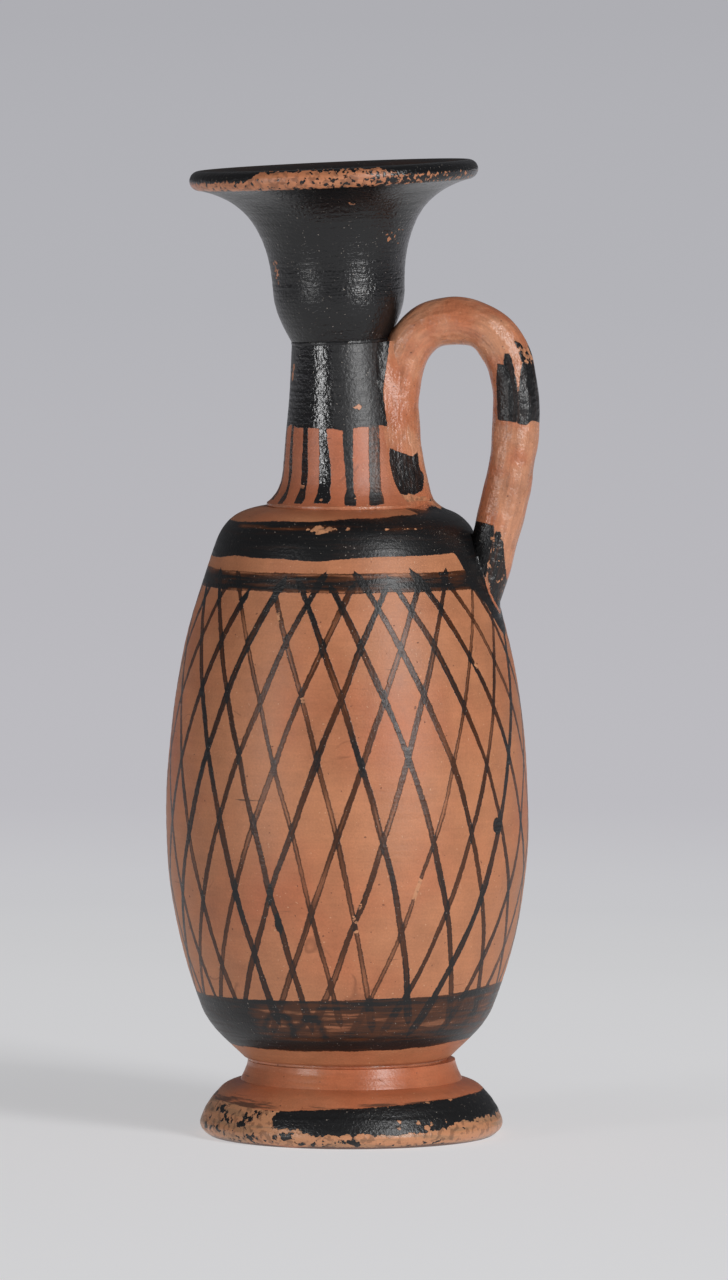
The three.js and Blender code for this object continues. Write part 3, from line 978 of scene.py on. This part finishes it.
def with_hidden(strokes):
    """The strokes and, in the gap that they leave behind the pot, more at an even spacing."""
    first, last = strokes[0], strokes[-1]
    top_gap = first[0] + 360 - last[0]
    low_gap = first[1] + 360 - last[1]
    count = round(top_gap / NET_SPACING) - 1
    count += (len(strokes) + count) % 2
    shares = [(i + 1) / (count + 1) for i in range(count)]
    return strokes + [(last[0] + s * top_gap, last[1] + s * low_gap, *PLAIN) for s in shares]


falling_strokes, rising_strokes = with_hidden(FALLING), with_hidden(RISING)
print("strokes:", len(falling_strokes), "falling and", len(rising_strokes), "rising")

# %% Paint the net
# How far a family of strokes bows out on its way down, how it sways, and the height where it ends.
FALLING_PULL = (0.46, 0.15, 20.6)
RISING_PULL = (0.0, 0.25, 19.2)
INK = 0.88
FRESH_DIP, DIP_FROM, DIP_OVER = 0.6, 90, 8

body_canvas = Canvas(body)
net_wall = curve([body_base, knee, belly, shoulder], 0.2)
radii, heights = net_wall.T
crossed = np.append(0, np.cumsum(np.diff(heights) / radii[1:]))
crossed_top, crossed_low = np.interp((NET_TOP, NET_LOW), heights, crossed)
descent = (crossed_top - crossed) / (crossed_top - crossed_low)


def paint_strokes(name, strokes, bow, sway, stop):
    """Stores a family of strokes on the body: the distance to the nearest, its half width and its load."""
    z = body.height
    advance = descent + descent * (1 - descent) * (bow + sway * (1 - 2 * descent))
    fresh_dip = 1 + FRESH_DIP * np.clip((z - DIP_FROM) / DIP_OVER, 0, 1)
    nearest = np.full(len(z), np.inf)
    offset, half, load = np.zeros_like(z), np.zeros_like(z), np.zeros_like(z)
    for index, (top, low, width, full, start) in enumerate(strokes):
        path = top + (low - top) * advance + wander(0.3)(heights)
        slant = np.hypot(1, np.radians(np.gradient(path, heights)) * radii)
        away = body_canvas.across(np.interp(z, heights, path)) / np.interp(z, heights, slant)
        end = stop + draws.uniform(-0.8, 0.8)
        breadth = np.minimum(width / 2 * (1 + wander(0.12)(z)), 0.5 * np.minimum(start - z, z - end))
        fill = np.clip(INK * full**1.5 * (1 + wander(0.3)(z)), 0.2, 1)
        closer = np.abs(away) < nearest
        nearest = np.where(closer, np.abs(away), nearest)
        offset = np.where(closer, away * (-1) ** index, offset)
        half = np.where(closer, breadth, half)
        load = np.where(closer, np.minimum(fill * fresh_dip, 1), load)
    half = np.where(body.outside, half, BARE)
    store(body, **{name: offset, name + "_half": half, name + "_load": load})
    print(name, "strokes stored on", len(z), "vertices")


paint_strokes("fall", falling_strokes, *FALLING_PULL)
paint_strokes("rise", rising_strokes, *RISING_PULL)

# %% [markdown]
# ### Bands on the body
# Three bands ring the body: a full black one on the shoulder, a thin watery one that the net hangs from,
# and a broad streaky one above the foot. Beside the handle the upper two run together into a black sweep
# round its lower root. Their edges follow the hand, so each edge is a height that changes with the turn.

# %% Paint the upper bands
SWEEP_HEIGHTS = [86.8, 88.5, 90.5, 93.0, 96.2, 100.5, 104.0]
SWEEP_HALF_TURNS = [0, 6, 10, 14, 20, 25, 30]
THIN_LOW, THIN_HIGH = 95.8, 99.1


def paint_sweep(canvas):
    """The black sweep round the handle's lower root."""
    half = np.interp(canvas.piece.height, SWEEP_HEIGHTS, SWEEP_HALF_TURNS, left=-40)
    canvas.lay(np.radians(half) * canvas.piece.radius - np.abs(canvas.across(HANDLE_TURN)), 1.0)


paint_sweep(body_canvas)
low_edge = body_canvas.by_turn((-78, -52, -12, 5, 16, 55), (100.8, 101.4, 101.1, 101.6, 101.9, 101.9))
top_edge = body_canvas.by_turn(
    (-72, -20, 1, 44, 50, 110, 116), (107.1, 107.8, 108.2, 108.7, 111, 111, 108)
)
body_canvas.band(low_edge, top_edge, 1.0, 0.2)
thin_load = body_canvas.by_turn((-80, -62, -45, 25, 50, 62), (1, 0.9, 0.8, 0.8, 0.85, 1))
brushed_out = np.clip((99.4 - body.height) / 1.3, 0, 1) * np.clip((body.height - 95.5) / 0.9, 0, 1)
body_canvas.band(THIN_LOW, THIN_HIGH, thin_load * brushed_out, 0.2)
print("shoulder band from", low_edge.min(), "to", top_edge.max(), "mm")

# %% Paint the lower band and the drips
HOOKS = [
    [(-35.7, 20.6), (-31.9, 22.5), (-27.1, 23.2), (-23.6, 22.3), (-22.6, 20.7), (-22.9, 19.3)],
    [(-22.2, 20.4), (-17.8, 21.4), (-16.0, 22.7), (-12.4, 22.8), (-10.7, 21.2), (-9.3, 19.4)],
]
DRIPS = [(55, 55.3, 1.1, 1.4, 0.95), (-23, 39.2, 0.7, 1.5, 0.9)]
full_left = body_canvas.by_turn((-42, -32), (1, 0))
foot_side = body_canvas.by_turn((-75, -34, 0, 26, 54), (16.2, 16.4, 16.5, 16.6, 17.3))
net_side = body_canvas.by_turn((-69, -40, 0, 20, 42, 62), (25.2, 25.5, 25.9, 26.1, 26.3, 27.0))
body_canvas.band(foot_side, net_side, 0.42 + 0.58 * full_left, 0.15)
body_canvas.band(foot_side, 18.5, 1.0, 0.15)
body_canvas.band(18.5, 20.5, 0.35, 0.3)
body_canvas.band(net_side - 1.5, net_side, 0.5, 0.15)
body_canvas.thin(body_canvas.spot(-24, 23.6, 9.0, 0.6), 0.3)
for hook in HOOKS:
    body_canvas.lay(body_canvas.beside(hook, 1.1), 0.8)
for *oval, load in DRIPS:
    body_canvas.lay(body_canvas.spot(*oval), load)
print("lower band from", foot_side.min(), "to", net_side.max(), "mm, with", len(HOOKS), "hooks")

# %% [markdown]
# ### Wear on the body
# A few chips bare the clay, and a worn line runs round the shoulder where the brush left the paint thin.
# The chips could be cut into the mesh, but the slip is thinner than a hair, so they are only marked as
# worn, and the shader lets the paint fall there.

# %% Wear the body
CHIPS = [
    (-15, 77.7, 0.7, 0.6, 1.0), (51, 83.1, 0.8, 0.6, 1.0), (-33, 40.4, 0.6, 0.5, 1.0),
    (23, 44.9, 1.6, 2.3, 1.0), (-12, 106.4, 2.4, 0.75, 1.0), (3, 42, 1.2, 5.0, 0.55),
    (-26, 90, 1.2, 4.0, 0.5),
]
WORN_LINE = 106.5
body_canvas.chip(CHIPS)
off_line = np.abs(body.height - WORN_LINE - body_canvas.wavering(0.12))
line_load = body_canvas.by_turn((-66, -60, -8, -4, 40, 50), (1, 0.2, 0.3, 0.6, 0.7, 1))
body_canvas.thin(0.15 - off_line, line_load)
body_canvas.rub(0.1 - off_line, body_canvas.by_turn((-8, 0, 40, 50), (0, 0.95, 0.95, 0)))
body_canvas.keep()

# %% [markdown]
# ### Neck
# The upper neck is black, and tongues of slip run down from it to the joint. Beside the handle the black
# stops in a line that is easiest to give as it looks from the front. Its gloss is uneven, sharp on the
# left and dull on the right, so the neck also gets a map of dullness.

# %% Set out the paint of the neck
# Turn at the top and at the bottom, width in mm and load of each tongue on the neck.
TONGUES = [
    (-128, -128, 1.5, 0.8), (-106, -106, 1.4, 0.8), (-84, -80, 1.2, 0.6), (-64, -58, 0.9, 0.7),
    (-42, -40, 1.3, 0.85), (-22, -19, 1.8, 1.0), (3.4, 2, 1.6, 0.95), (30, 22, 1.9, 0.35),
    (26, 19, 0.5, 0.85), (30.5, 22, 0.4, 0.8), (34.5, 25.5, 0.4, 0.85),
    (118, 116, 1.6, 0.8), (136, 136, 1.7, 0.8), (156, 156, 1.6, 0.8), (179, 179, 1.6, 0.8),
]
TONGUE_LENGTH = 13.4
NECK_EDGE = 123.3
# Where the black stops beside the handle, as it looks from the front: heights, and how far right.
ROOT_HEIGHTS = (119.4, 122.5, 125.3, 127.7, 129.4, 132.9, 136.4, 139.8)
ROOT_EDGE = (6.7, 6.3, 6.0, 5.6, 5.5, 6.0, 6.5, 6.9)


def front_view(points):
    """How far right and how high points, or their mirror images on the far side, look from the camera."""
    turn = math.radians(CAMERA_AZIMUTH)
    x, y, z = points[:, 0], -np.abs(points[:, 1]), points[:, 2]
    nearer = x * math.sin(turn) - y * math.cos(turn)
    fall = (CAMERA_HEIGHT / MM - z) / (CAMERA_DISTANCE / MM)
    return x * math.cos(turn) + y * math.sin(turn), z - nearer * fall


def paint_neck(canvas):
    """The black of the upper neck, which stops beside the root of the handle."""
    right, up = front_view(canvas.piece.points)
    black = canvas.piece.height - NECK_EDGE - canvas.wavering(0.55)
    canvas.lay(np.minimum(black, np.interp(up, ROOT_HEIGHTS, ROOT_EDGE) - right), 1.0)


print("neck:", len(TONGUES), "tongues")

# %% Paint the neck
NECK_CHIPS = [(16, 126.8, 0.9, 0.5, 1.0), (-40, 113.4, 1.2, 0.4, 1.0), (-72, 133, 0.9, 2.0, 0.7)]
neck_canvas = Canvas(neck)
paint_neck(neck_canvas)
for top_turn, low_turn, width, load in TONGUES:
    share = np.clip((neck.height - NECK_BASE) / TONGUE_LENGTH, 0, 1)
    centre_turn = low_turn + (top_turn - low_turn) * share
    off = np.abs(neck_canvas.across(centre_turn) + wander(0.2)(neck.height))
    half = width / 2 * (1 + wander(0.25)(neck.height)) + 0.5 * np.clip(1.6 - 8 * share, 0, 0.8)
    end = NECK_BASE + draws.uniform(0.0, 0.5)
    neck_canvas.lay(np.minimum(half - off, neck.height - end), load)
off_ring = np.abs(neck.height - NECK_BASE - 1.2 - neck_canvas.wavering(0.2))
neck_canvas.rub(0.1 - off_ring, 0.9)
neck_canvas.chip(NECK_CHIPS)
neck_canvas.dull = neck_canvas.by_turn((-70, -45, -18, -8, 8, 60), (0.1, -0.16, -0.14, 0.12, 0.2, 0.18))
neck_canvas.keep()

# %% [markdown]
# ### Mouth
# The mouth is black inside and out. Hands and shelves have worn the outer face of its lip back to the
# clay, most of all on the left and in front, and a few scrapes cross the bell. Cutting them into the mesh
# would need a far finer skin, so thin lines of wear stand for them.

# %% Paint the mouth
LIP_LOW, LIP_DEPTH = 164.8, 1.5
BELL_CHIPS = [(-65, 150.5, 1.2, 2.8, 0.62)]
SCRAPES = [
    [(42, 156.3), (49, 156.6), (60, 157.0)], [(50, 156.5), (53, 155.2), (60, 154.5)],
    [(44, 155.5), (50, 155.2)], [(6, 162.6), (10, 161.8), (13, 162.1)],
]
mouth_canvas = Canvas(mouth)
in_cup = np.arange(len(mouth.turn)) >= (len(mouth_outside) - len(cup)) * MOUTH_COLUMNS
mouth_canvas.lay(np.full(len(mouth.turn), 4.0), np.where(in_cup, 0.85, 1.0))
bell_dull = mouth_canvas.by_turn((-60, -35, 20, 45, 80), (0.02, -0.07, -0.07, -0.12, -0.12))
mouth_canvas.dull = np.where(in_cup, 0.25, bell_dull)
lip_black = mouth_canvas.by_turn((-95, -36, -31, 19, 28, 70), (166.6, 166.9, 168.4, 168.4, 167.3, 166.9))
lip_wear = mouth_canvas.by_turn(
    (-120, -92, -34, -30, -12, 15, 24, 90, 110), (0.6, 0.84, 0.86, 0.85, 0.84, 0.74, 0.55, 0.38, 0.5)
)
lip_face = np.minimum(lip_black - mouth.height, mouth.height - LIP_LOW)
mouth_canvas.rub(np.minimum(lip_face, 2 * (mouth.radius - RIM_RADIUS + LIP_DEPTH)), lip_wear)
for scrape in SCRAPES:
    mouth_canvas.rub(mouth_canvas.beside(scrape, 0.4), 0.95)
mouth_canvas.chip(BELL_CHIPS)
mouth_canvas.keep()

# %% [markdown]
# ### Foot
# The side of the foot was painted black. Much of that has flaked off on the left and along the edge that
# it stands on, where dark remains and stains are left. So the whole side is painted first, then worn, and
# small ovals keep some of the paint. A dark line along the edge that it stands on is painted shade, where
# the foot meets the floor.

# %% Paint the foot
FOOT_CHIPS = [
    (19, 3.9, 0.7, 1.0, 0.9), (27, 4.3, 0.6, 0.5, 0.9), (30, 3.4, 0.8, 0.6, 0.9),
    (33, 4.1, 0.5, 0.6, 0.9), (40, 4.3, 0.5, 0.4, 0.9),
]
FOOT_REMAINS = [
    (-64, 5.4), (-57, 4.3), (-47, 3.5), (-40, 5.6), (-45, 4.8), (-26, 1.8), (-42, 1.5), (1, 1.2),
]
SMEARS = [(-66, 2.2, 4.0, 0.56), (-42, 0.9, 7.0, 0.6), (-14, 0.8, 5.0, 0.64), (30, 0.8, 5.0, 0.68)]
foot_canvas = Canvas(foot)
foot_low_edge = foot_canvas.by_turn(
    (-29, -20, -14, -6, 25, 36, 47, 90), (3.4, 3.4, 2.3, 2.7, 2.7, 3.1, 4.2, 4.2)
)
foot_top_edge = foot_canvas.by_turn((-33, -22, -2, 36, 72, 150), (6.1, 6.5, 7.1, 7.5, 7.9, 7.5))
off_side = np.abs(foot.height - 5)
foot_canvas.band(0.3, foot_top_edge, 1.0, 0.25)
foot_canvas.rub(foot_low_edge - foot.height, 1.0)
foot_canvas.rub(4.0 - off_side, foot_canvas.by_turn((-110, -92, -33, -30), (0.5, 0.94, 0.94, 0)))
foot_canvas.rub(0.3 - np.abs(foot.height - foot_top_edge), 0.6)
foot_canvas.chip(FOOT_CHIPS)
for turn, height in FOOT_REMAINS:
    foot_canvas.guard(foot_canvas.spot(turn, height, 1.6, 0.7), 0.42)
for turn, height, half_width, wear in SMEARS:
    foot_canvas.guard(foot_canvas.spot(turn, height, half_width, 0.6), wear)
foot_canvas.darken_clay(2.6 - foot.height, 0.27)
# Painted shade: a dark line along the edge that the foot stands on, where it meets the floor.
foot_canvas.darken_clay(0.6 - foot.height, 0.85)
foot_canvas.darken_clay(3.0 - off_side, foot_canvas.by_turn((-110, -95, -60, -31), (0.6, 0.5, 0.45, 0.35)))
foot_canvas.keep()

# %% [markdown]
# ### Handle, beds and rings
# The handle stayed clay but for three patches where the brush met it in passing: on the outer bend, on
# the heel and on the root in the shoulder. They cross from the coil to the beds, so each is drawn as it
# looks from the front, in millimetres to the right and up, and the far side gets its mirror image.

# %% Draw the patches on the handle
LEFT_BEND_PATCH = [
    (25.2, 124.2), (25.0, 131.4), (25.2, 134.0), (26.2, 133.8), (26.4, 135.8), (27.4, 135.8),
    (28.1, 133.2), (28.6, 130.3), (28.9, 128.0), (28.6, 123.8),
]
RIGHT_BEND_PATCH = [
    (28.6, 123.5), (28.8, 128.0), (29.1, 132.0), (29.5, 134.0), (28.5, 136.9), (27.8, 138.3), (29.8, 137.1),
    (30.3, 135.9), (30.4, 138.1), (31.4, 138.5), (34.2, 136.4), (34.2, 123.3), (31.1, 124.1), (30.2, 123.2),
]
HEEL_PATCH = [
    (20.2, 106.9), (22.1, 106.6), (24.6, 105.9), (24.7, 104.6), (24.2, 101.7), (23.6, 98.8), (23.3, 96.8),
    (20.6, 96.0),
]
HEEL_STREAK = [
    (24.9, 104.9), (25.8, 104.9), (26.3, 102.8), (26.5, 100.2), (26.8, 97.3), (27.3, 94.2), (27.6, 91.8),
    (27.6, 87.8), (26.6, 88.4), (25.2, 91.8), (24.0, 94.7), (23.6, 96.5), (23.7, 98.8), (24.2, 101.7),
]
HEEL_LINE = [(21.4, 102.5), (22.1, 100.5), (23.0, 97.6), (23.7, 94.7), (24.6, 92.7), (25.8, 90.7)]
SLIP_RIDGE = [(3.6, 110.5), (6.5, 110.8), (9.5, 110.4), (12.5, 110.6), (15.2, 109.8)]
ROOT_PATCH = [
    (6.6, 119.5), (8.4, 118.6), (10.7, 117.9), (11.4, 118.8), (11.9, 115.9), (12.6, 114.5), (12.4, 112.1),
    (10.5, 111.0), (8.4, 110.6), (7.4, 113.1), (6.6, 115.9),
]


def from_line(piece, corners):
    """How far each point looks from a line of corners, drawn as it looks from the front."""
    right, up = front_view(piece.points)
    nearest = np.full(len(right), np.inf)
    for (x0, y0), (x1, y1) in zip(corners, corners[1:]):
        nearest = np.minimum(nearest, off_segment(right - x0, up - y0, x1 - x0, y1 - y0))
    return nearest


def patch(piece, corners):
    """How far each point lies inside a shape drawn as it looks from the front."""
    right, up = front_view(piece.points)
    closed = corners + corners[:1]
    nearest = from_line(piece, closed)
    within = np.zeros(len(right), bool)
    for (x0, y0), (x1, y1) in zip(closed, closed[1:]):
        within ^= ((y0 > up) != (y1 > up)) & (right < x0 + (up - y0) * (x1 - x0) / (y1 - y0))
    return np.where(within, nearest, -nearest)


print("root patch drawn with", len(ROOT_PATCH), "corners")

# %% Paint the handle
root_patch = patch(handle, ROOT_PATCH)
heel_streak = patch(handle, HEEL_STREAK)
right_bend = patch(handle, RIGHT_BEND_PATCH)
handle_canvas = Canvas(handle)
handle_canvas.lay(patch(handle, LEFT_BEND_PATCH), 0.95)
handle_canvas.lay(right_bend, 0.95)
handle_canvas.lay(patch(handle, HEEL_PATCH), 1.0)
handle_canvas.lay(heel_streak, 0.85)
handle_canvas.lay(root_patch, 0.9)
handle_canvas.rub(np.minimum(right_bend + 0.5, handle.height - 134), 0.62)
handle_canvas.rub(heel_streak + 0.5, 0.4)
handle_canvas.rub(np.minimum(root_patch + 0.5, 112.6 - handle.height), 0.6)
handle_canvas.keep()

# %% Paint the beds and the rings of slip
lower_canvas = Canvas(lower_bed)
paint_sweep(lower_canvas)
lower_canvas.lay(patch(lower_bed, HEEL_STREAK), 1.0)
lower_canvas.bare(0.14 - from_line(lower_bed, HEEL_LINE))
lower_canvas.keep()
upper_canvas = Canvas(upper_bed)
paint_neck(upper_canvas)
upper_canvas.band(101.2, 109.2, 1.0)
upper_canvas.lay(patch(upper_bed, ROOT_PATCH), 0.9)
ridge = 0.4 - from_line(upper_bed, SLIP_RIDGE)
upper_canvas.lay(ridge, 0.9)
upper_canvas.rub(ridge + 0.6, 1.0)
upper_canvas.keep()
mouth_slip_canvas = Canvas(mouth_slip)
mouth_slip_canvas.lay(np.full(len(mouth_slip.turn), 2.0), 1.0)
mouth_slip_canvas.keep()
for ring in (foot_slip, neck_slip):
    Canvas(ring).keep()

# %% [markdown]
# ## Fired clay
# The clay is orange-brown earthenware. The fire left it redder in some places and paler in others, and it
# has fine grains, small pebbles under the skin, pinholes, hairline scratches, the thin lines of the wheel
# or the fingers, and stains and painted shade where the map asks for them. A photograph of clay could be
# used as a texture, but it would bring its own light with it. One node group of noises makes the colour,
# the roughness and the relief instead, and every finish uses it with its own values.

# %% Mix the colour of the clay
CLAY_BROWN = colour(183, 121, 85)
CLAY_RED = colour(177, 101, 67)
CLAY_PALE = colour(218, 176, 142)
CLAY_INPUTS = ("Redness", "Paleness", "Tool Lines", "Pebbles", "Polish")

surface = {"Color": "Color", "Roughness": "Float", "Relief": "Float"}
bench, given, result = node_group("fired_clay", {name: "Float" for name in CLAY_INPUTS}, surface)
place = bench.place()
tool = bench.field("tool", "Vector")
blotch = bench.noise(place, 210, 4)
grain = bench.noise(place, 3000, 2)
pebbles = bench.times(bench.noise(place, 650, 4), given["Pebbles"])
drawn = bench.plus(bench.noise(tool, 2.0, 3), bench.times(bench.noise(tool, 0.5, 1), 0.5))
lines = bench.times(bench.minus(drawn, 0.75), given["Tool Lines"])
warmth = bench.plus(given["Redness"], bench.span(bench.noise(place, 45, 3), -1.2, 1.2))
clay_colour = bench.mix(bench.step(warmth, 0, 1), CLAY_BROWN, CLAY_RED)
patches = bench.step(bench.noise(bench.place(6.4), 150, 5), 0.4, 0.62)
paleness = bench.times(given["Paleness"], bench.span(patches, 0.4, 1.6))
clay_colour = bench.mix(paleness, clay_colour, CLAY_PALE)
fire = bench.span(bench.noise(bench.place(8.2), 26, 2), -0.2, 0.2)
pebble_tone = bench.minus(pebbles, bench.times(given["Pebbles"], 0.5))
tone = bench.plus(bench.span(grain, 0.82, 1.18), bench.times(lines, 0.5))
tone = bench.plus(tone, bench.span(blotch, -0.25, 0.25), fire, pebble_tone)
clay_colour = bench.node("HueSaturation", {"Color": clay_colour, "Value": tone}).outputs[0]
print("clay colour:", len(bench.tree.nodes), "nodes")

# %% Add grains, pinholes, scratches and stains
CLAY_DARK = colour(96, 54, 36)
STAIN_AND_SHADE = colour(78, 56, 44)
pale_grains = bench.step(bench.noise(bench.place(0.7), 2500, 0), 0.8, 0.86)
clay_colour = bench.mix(bench.times(pale_grains, 0.5), clay_colour, CLAY_PALE)
pinholes = bench.step(bench.noise(bench.place(3.1), 1700, 0), 0.83, 0.87)
off_scratch = bench.unsigned(bench.minus(bench.noise(bench.place(5.3), 70, 1), 0.5))
scratched = bench.step(bench.noise(bench.place(1.9), 130, 1), 0.6, 0.68)
scratch = bench.times(bench.less(bench.step(off_scratch, 0.0, 0.006)), scratched)
marks = bench.most(bench.times(pinholes, 0.75), bench.times(scratch, 0.4))
clay_colour = bench.mix(marks, clay_colour, CLAY_DARK)
# Streaky stains, and painted shade where the map asks for it, darken the clay towards one brown.
stain = bench.plus(bench.noise(tool, 1.1, 6), bench.times(bench.field("stain"), 0.5))
clay_colour = bench.mix(bench.times(bench.step(stain, 0.7, 0.78), 0.85), clay_colour, STAIN_AND_SHADE)
relief = bench.plus(bench.times(grain, 0.03), bench.times(lines, 0.05), pebbles)
bench.feed(result["Color"], clay_colour)
bench.feed(result["Roughness"], bench.minus(bench.span(blotch, 0.3, 0.5), given["Polish"]))
bench.feed(result["Relief"], bench.minus(relief, bench.times(marks, 0.03)))
print("fired_clay:", len(bench.tree.nodes), "nodes")

# %% [markdown]
# ## Black slip
# Where the brush was full the slip fired black and glossy, and where it was watery the clay shows through
# as brown, darker along the edge of the stroke where the slip ran together. The group takes the painter's
# map, roughens its edges, lays streaks along the wheel and lets small flakes fall where the map says that
# the paint is worn. A flake bares fresh clay and leaves a little brown behind. Two layered shaders could do
# the same, but one colour, one roughness and one relief mix more simply.

# %% Let the slip flake
SLIP_INPUTS = ("Streaks", "Flakes", "Freshness", "Dullness", "Grain")

wanted = {"Clay": "Color", "Clay Roughness": "Float", "Paint": "Float", "Load": "Float"}
wanted |= {name: "Float" for name in SLIP_INPUTS}
bench, given, result = node_group("black_slip", wanted, surface)
place = bench.place()
tool = bench.field("tool", "Vector")
rough_edge = bench.span(bench.noise(place, 1000, 3), -0.17, 0.17)
fine_edge = bench.span(bench.noise(place, 4200, 1), -0.12, 0.12)
depth = bench.plus(given["Paint"], rough_edge, fine_edge)
covered = bench.step(depth, -0.05, 0.08)
along_wheel = bench.span(bench.noise(tool, 1.3, 3), -0.1, 0.1)
wear = bench.times(bench.field("wear"), 0.5)
worn = bench.plus(bench.noise(place, given["Flakes"], 6), along_wheel, wear)
flakes = bench.step(worn, 0.80, 0.83)
left_over = bench.times(bench.step(bench.noise(bench.place(4.7), 900, 3), 0.5, 0.62), 0.4)
kept = bench.times(covered, bench.less(bench.times(flakes, bench.less(left_over))))
print("flakes:", len(bench.tree.nodes), "nodes")

# %% Colour the slip by its thickness
SLIP_BLACK = colour(20, 20, 21)
SLIP_BROWN = colour(74, 39, 17)
DUST = colour(196, 184, 172)
FRESH_CLAY = colour(206, 154, 114)
streak = bench.step(bench.noise(tool, 1.6, 4), 0.3, 0.7)
thin = bench.minus(1.15, given["Load"])
unevenness = bench.times(bench.span(streak, -1.0, 1.0), given["Streaks"], thin)
gathered = bench.times(bench.less(bench.step(depth, 0.1, 0.35)), 0.16)
thickness = bench.plus(bench.times(given["Load"], bench.plus(unevenness, 1.0)), gathered)
slip_colour = bench.mix(bench.step(thickness, 0.5, 0.98), SLIP_BROWN, SLIP_BLACK)
dust = bench.step(bench.noise(bench.place(2.3), 4200, 0), 0.81, 0.85)
slip_colour = bench.mix(bench.times(dust, 0.6), slip_colour, DUST)
shown = bench.times(kept, bench.step(thickness, 0.0, 0.5))
fresh = bench.times(covered, flakes, given["Freshness"])
under = bench.mix(fresh, given["Clay"], FRESH_CLAY)
bench.feed(result["Color"], bench.mix(shown, under, slip_colour))
gloss = bench.plus(bench.span(streak, 0.3, 0.22), given["Dullness"], bench.field("dull"))
matte_part = bench.times(given["Clay Roughness"], bench.less(shown))
bench.feed(result["Roughness"], bench.plus(matte_part, bench.times(gloss, shown)))
skin_grain = bench.times(bench.noise(place, 1800, 2), given["Grain"])
bench.feed(result["Relief"], bench.times(kept, bench.plus(bench.span(streak, 0.0, 0.02), skin_grain)))
print("black_slip:", len(bench.tree.nodes), "nodes")

# %% [markdown]
# ## Finishes
# Every finish is fired clay under the painter's slip, with its own values: the body is browner and satin,
# the neck the glossiest, the handle pale and pebbled. On the body the map of the bands is joined with the
# two families of strokes. The bristles leave lines along a stroke, so its load changes fast across it and
# slowly along it. One material with a switch could serve all, but six small ones are easier to adjust.

# %% Join the net with the bands
BRISTLES_ACROSS = 3.5
BRISTLES_ALONG = 0.1


def net_paint(bench, depth, load):
    """Depth inside the paint and its load, once both families of strokes join the bands."""
    clear = bench.less(bench.times(bench.step(depth, -0.3, -0.1), load))
    slow = bench.times(bench.field("height"), BRISTLES_ALONG)
    for family in ("fall", "rise"):
        offset = bench.field(family)
        across = bench.node("CombineXYZ", {0: bench.times(offset, BRISTLES_ACROSS), 1: slow}).outputs[0]
        bristles = bench.span(bench.noise(across, 1.0, 3), 0.3, 1.6)
        fill = bench.least(bench.times(bench.field(family + "_load"), bristles), 1.0)
        inner = bench.minus(bench.field(family + "_half"), bench.unsigned(offset))
        clear = bench.times(clear, bench.less(bench.times(bench.step(inner, -0.3, -0.1), fill)))
        depth = bench.most(depth, inner)
    return depth, bench.less(clear)


print("bristles", round(BRISTLES_ACROSS / BRISTLES_ALONG), "times as long as wide")

# %% Make the painted finishes
RELIEF_UNIT = MM
# Values for the clay and for the slip, in the order of their groups' inputs, and the shine. Pebbles and
# grain are heights in millimetres, and flakes is how finely the slip flakes, to the metre.
LOOKS = {
    "net_painted_clay": ((0.2, 0.0, 0.4, 0.03, -0.06), (0.8, 620, 0.5, 0.1, 0.05), 0.42),
    "foot_clay": ((0.8, 0.04, 0.6, 0.06, 0.08), (0.4, 900, 0.6, 0.1, 0.1), 0.5),
    "neck_black": ((0.7, 0.0, 0.4, 0.08, -0.1), (0.4, 900, 0.4, 0.0, 0.09), 0.8),
    "mouth_black": ((0.4, 0.0, 2.0, 0.05, 0.05), (0.3, 1300, 0.1, 0.05, 0.13), 0.5),
    "rolled_clay": ((0.9, 0.22, 1.4, 0.35, 0.12), (0.5, 1100, 0.4, 0.04, 0.08), 0.5),
    "joining_slip": ((1.0, 0.16, 1.0, 0.25, 0.12), (0.4, 900, 0.4, 0.04, 0.08), 0.5),
}


def painted_finish(name, clay_values, slip_values, shine):
    """Fired clay under the painter's slip, each with the values for its group."""
    finish, bench = new_finish(name)
    clay = bench.group("fired_clay", dict(zip(CLAY_INPUTS, clay_values)))
    slip_inputs = dict(zip(SLIP_INPUTS, slip_values))
    paint, load = bench.field("paint"), bench.field("load")
    if name == "net_painted_clay":
        in_band = bench.step(paint, -0.1, 0.1)
        slip_inputs["Streaks"] = bench.times(in_band, slip_inputs["Streaks"])
        paint, load = net_paint(bench, paint, load)
    slip_inputs |= {"Clay": clay["Color"], "Clay Roughness": clay["Roughness"], "Paint": paint, "Load": load}
    slip = bench.group("black_slip", slip_inputs)
    relief = bench.plus(clay["Relief"], slip["Relief"])
    bump = bench.node("Bump", {"Height": relief, "Distance": RELIEF_UNIT, "Strength": 1.0})
    shader = bench.node("BsdfPrincipled", {
        "Base Color": slip["Color"], "Roughness": slip["Roughness"], "Normal": bump.outputs[0],
        "Specular IOR Level": shine,
    })
    bench.node("OutputMaterial", {"Surface": shader.outputs[0]})
    return finish


finishes = {name: painted_finish(name, *look) for name, look in LOOKS.items()}
print("finishes:", ", ".join(finishes))

# %% Dress every piece
PIECES = [
    (foot, "foot_clay", "clay"), (foot_slip, "joining_slip", "slip"), (body, "net_painted_clay", "clay"),
    (neck_slip, "joining_slip", "slip"), (neck, "neck_black", "black_gloss"),
    (mouth_slip, "joining_slip", "slip"), (mouth, "mouth_black", "black_gloss"),
    (handle, "rolled_clay", "clay"), (upper_bed, "joining_slip", "slip"),
    (lower_bed, "joining_slip", "slip"),
]
for piece, finish, slot in PIECES:
    node = piece.obj.name.split(".")[0]
    piece.obj.data.materials.append(finishes[finish])
    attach(piece.obj, "root")
    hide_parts(node)
print("pieces:", len(PIECES))
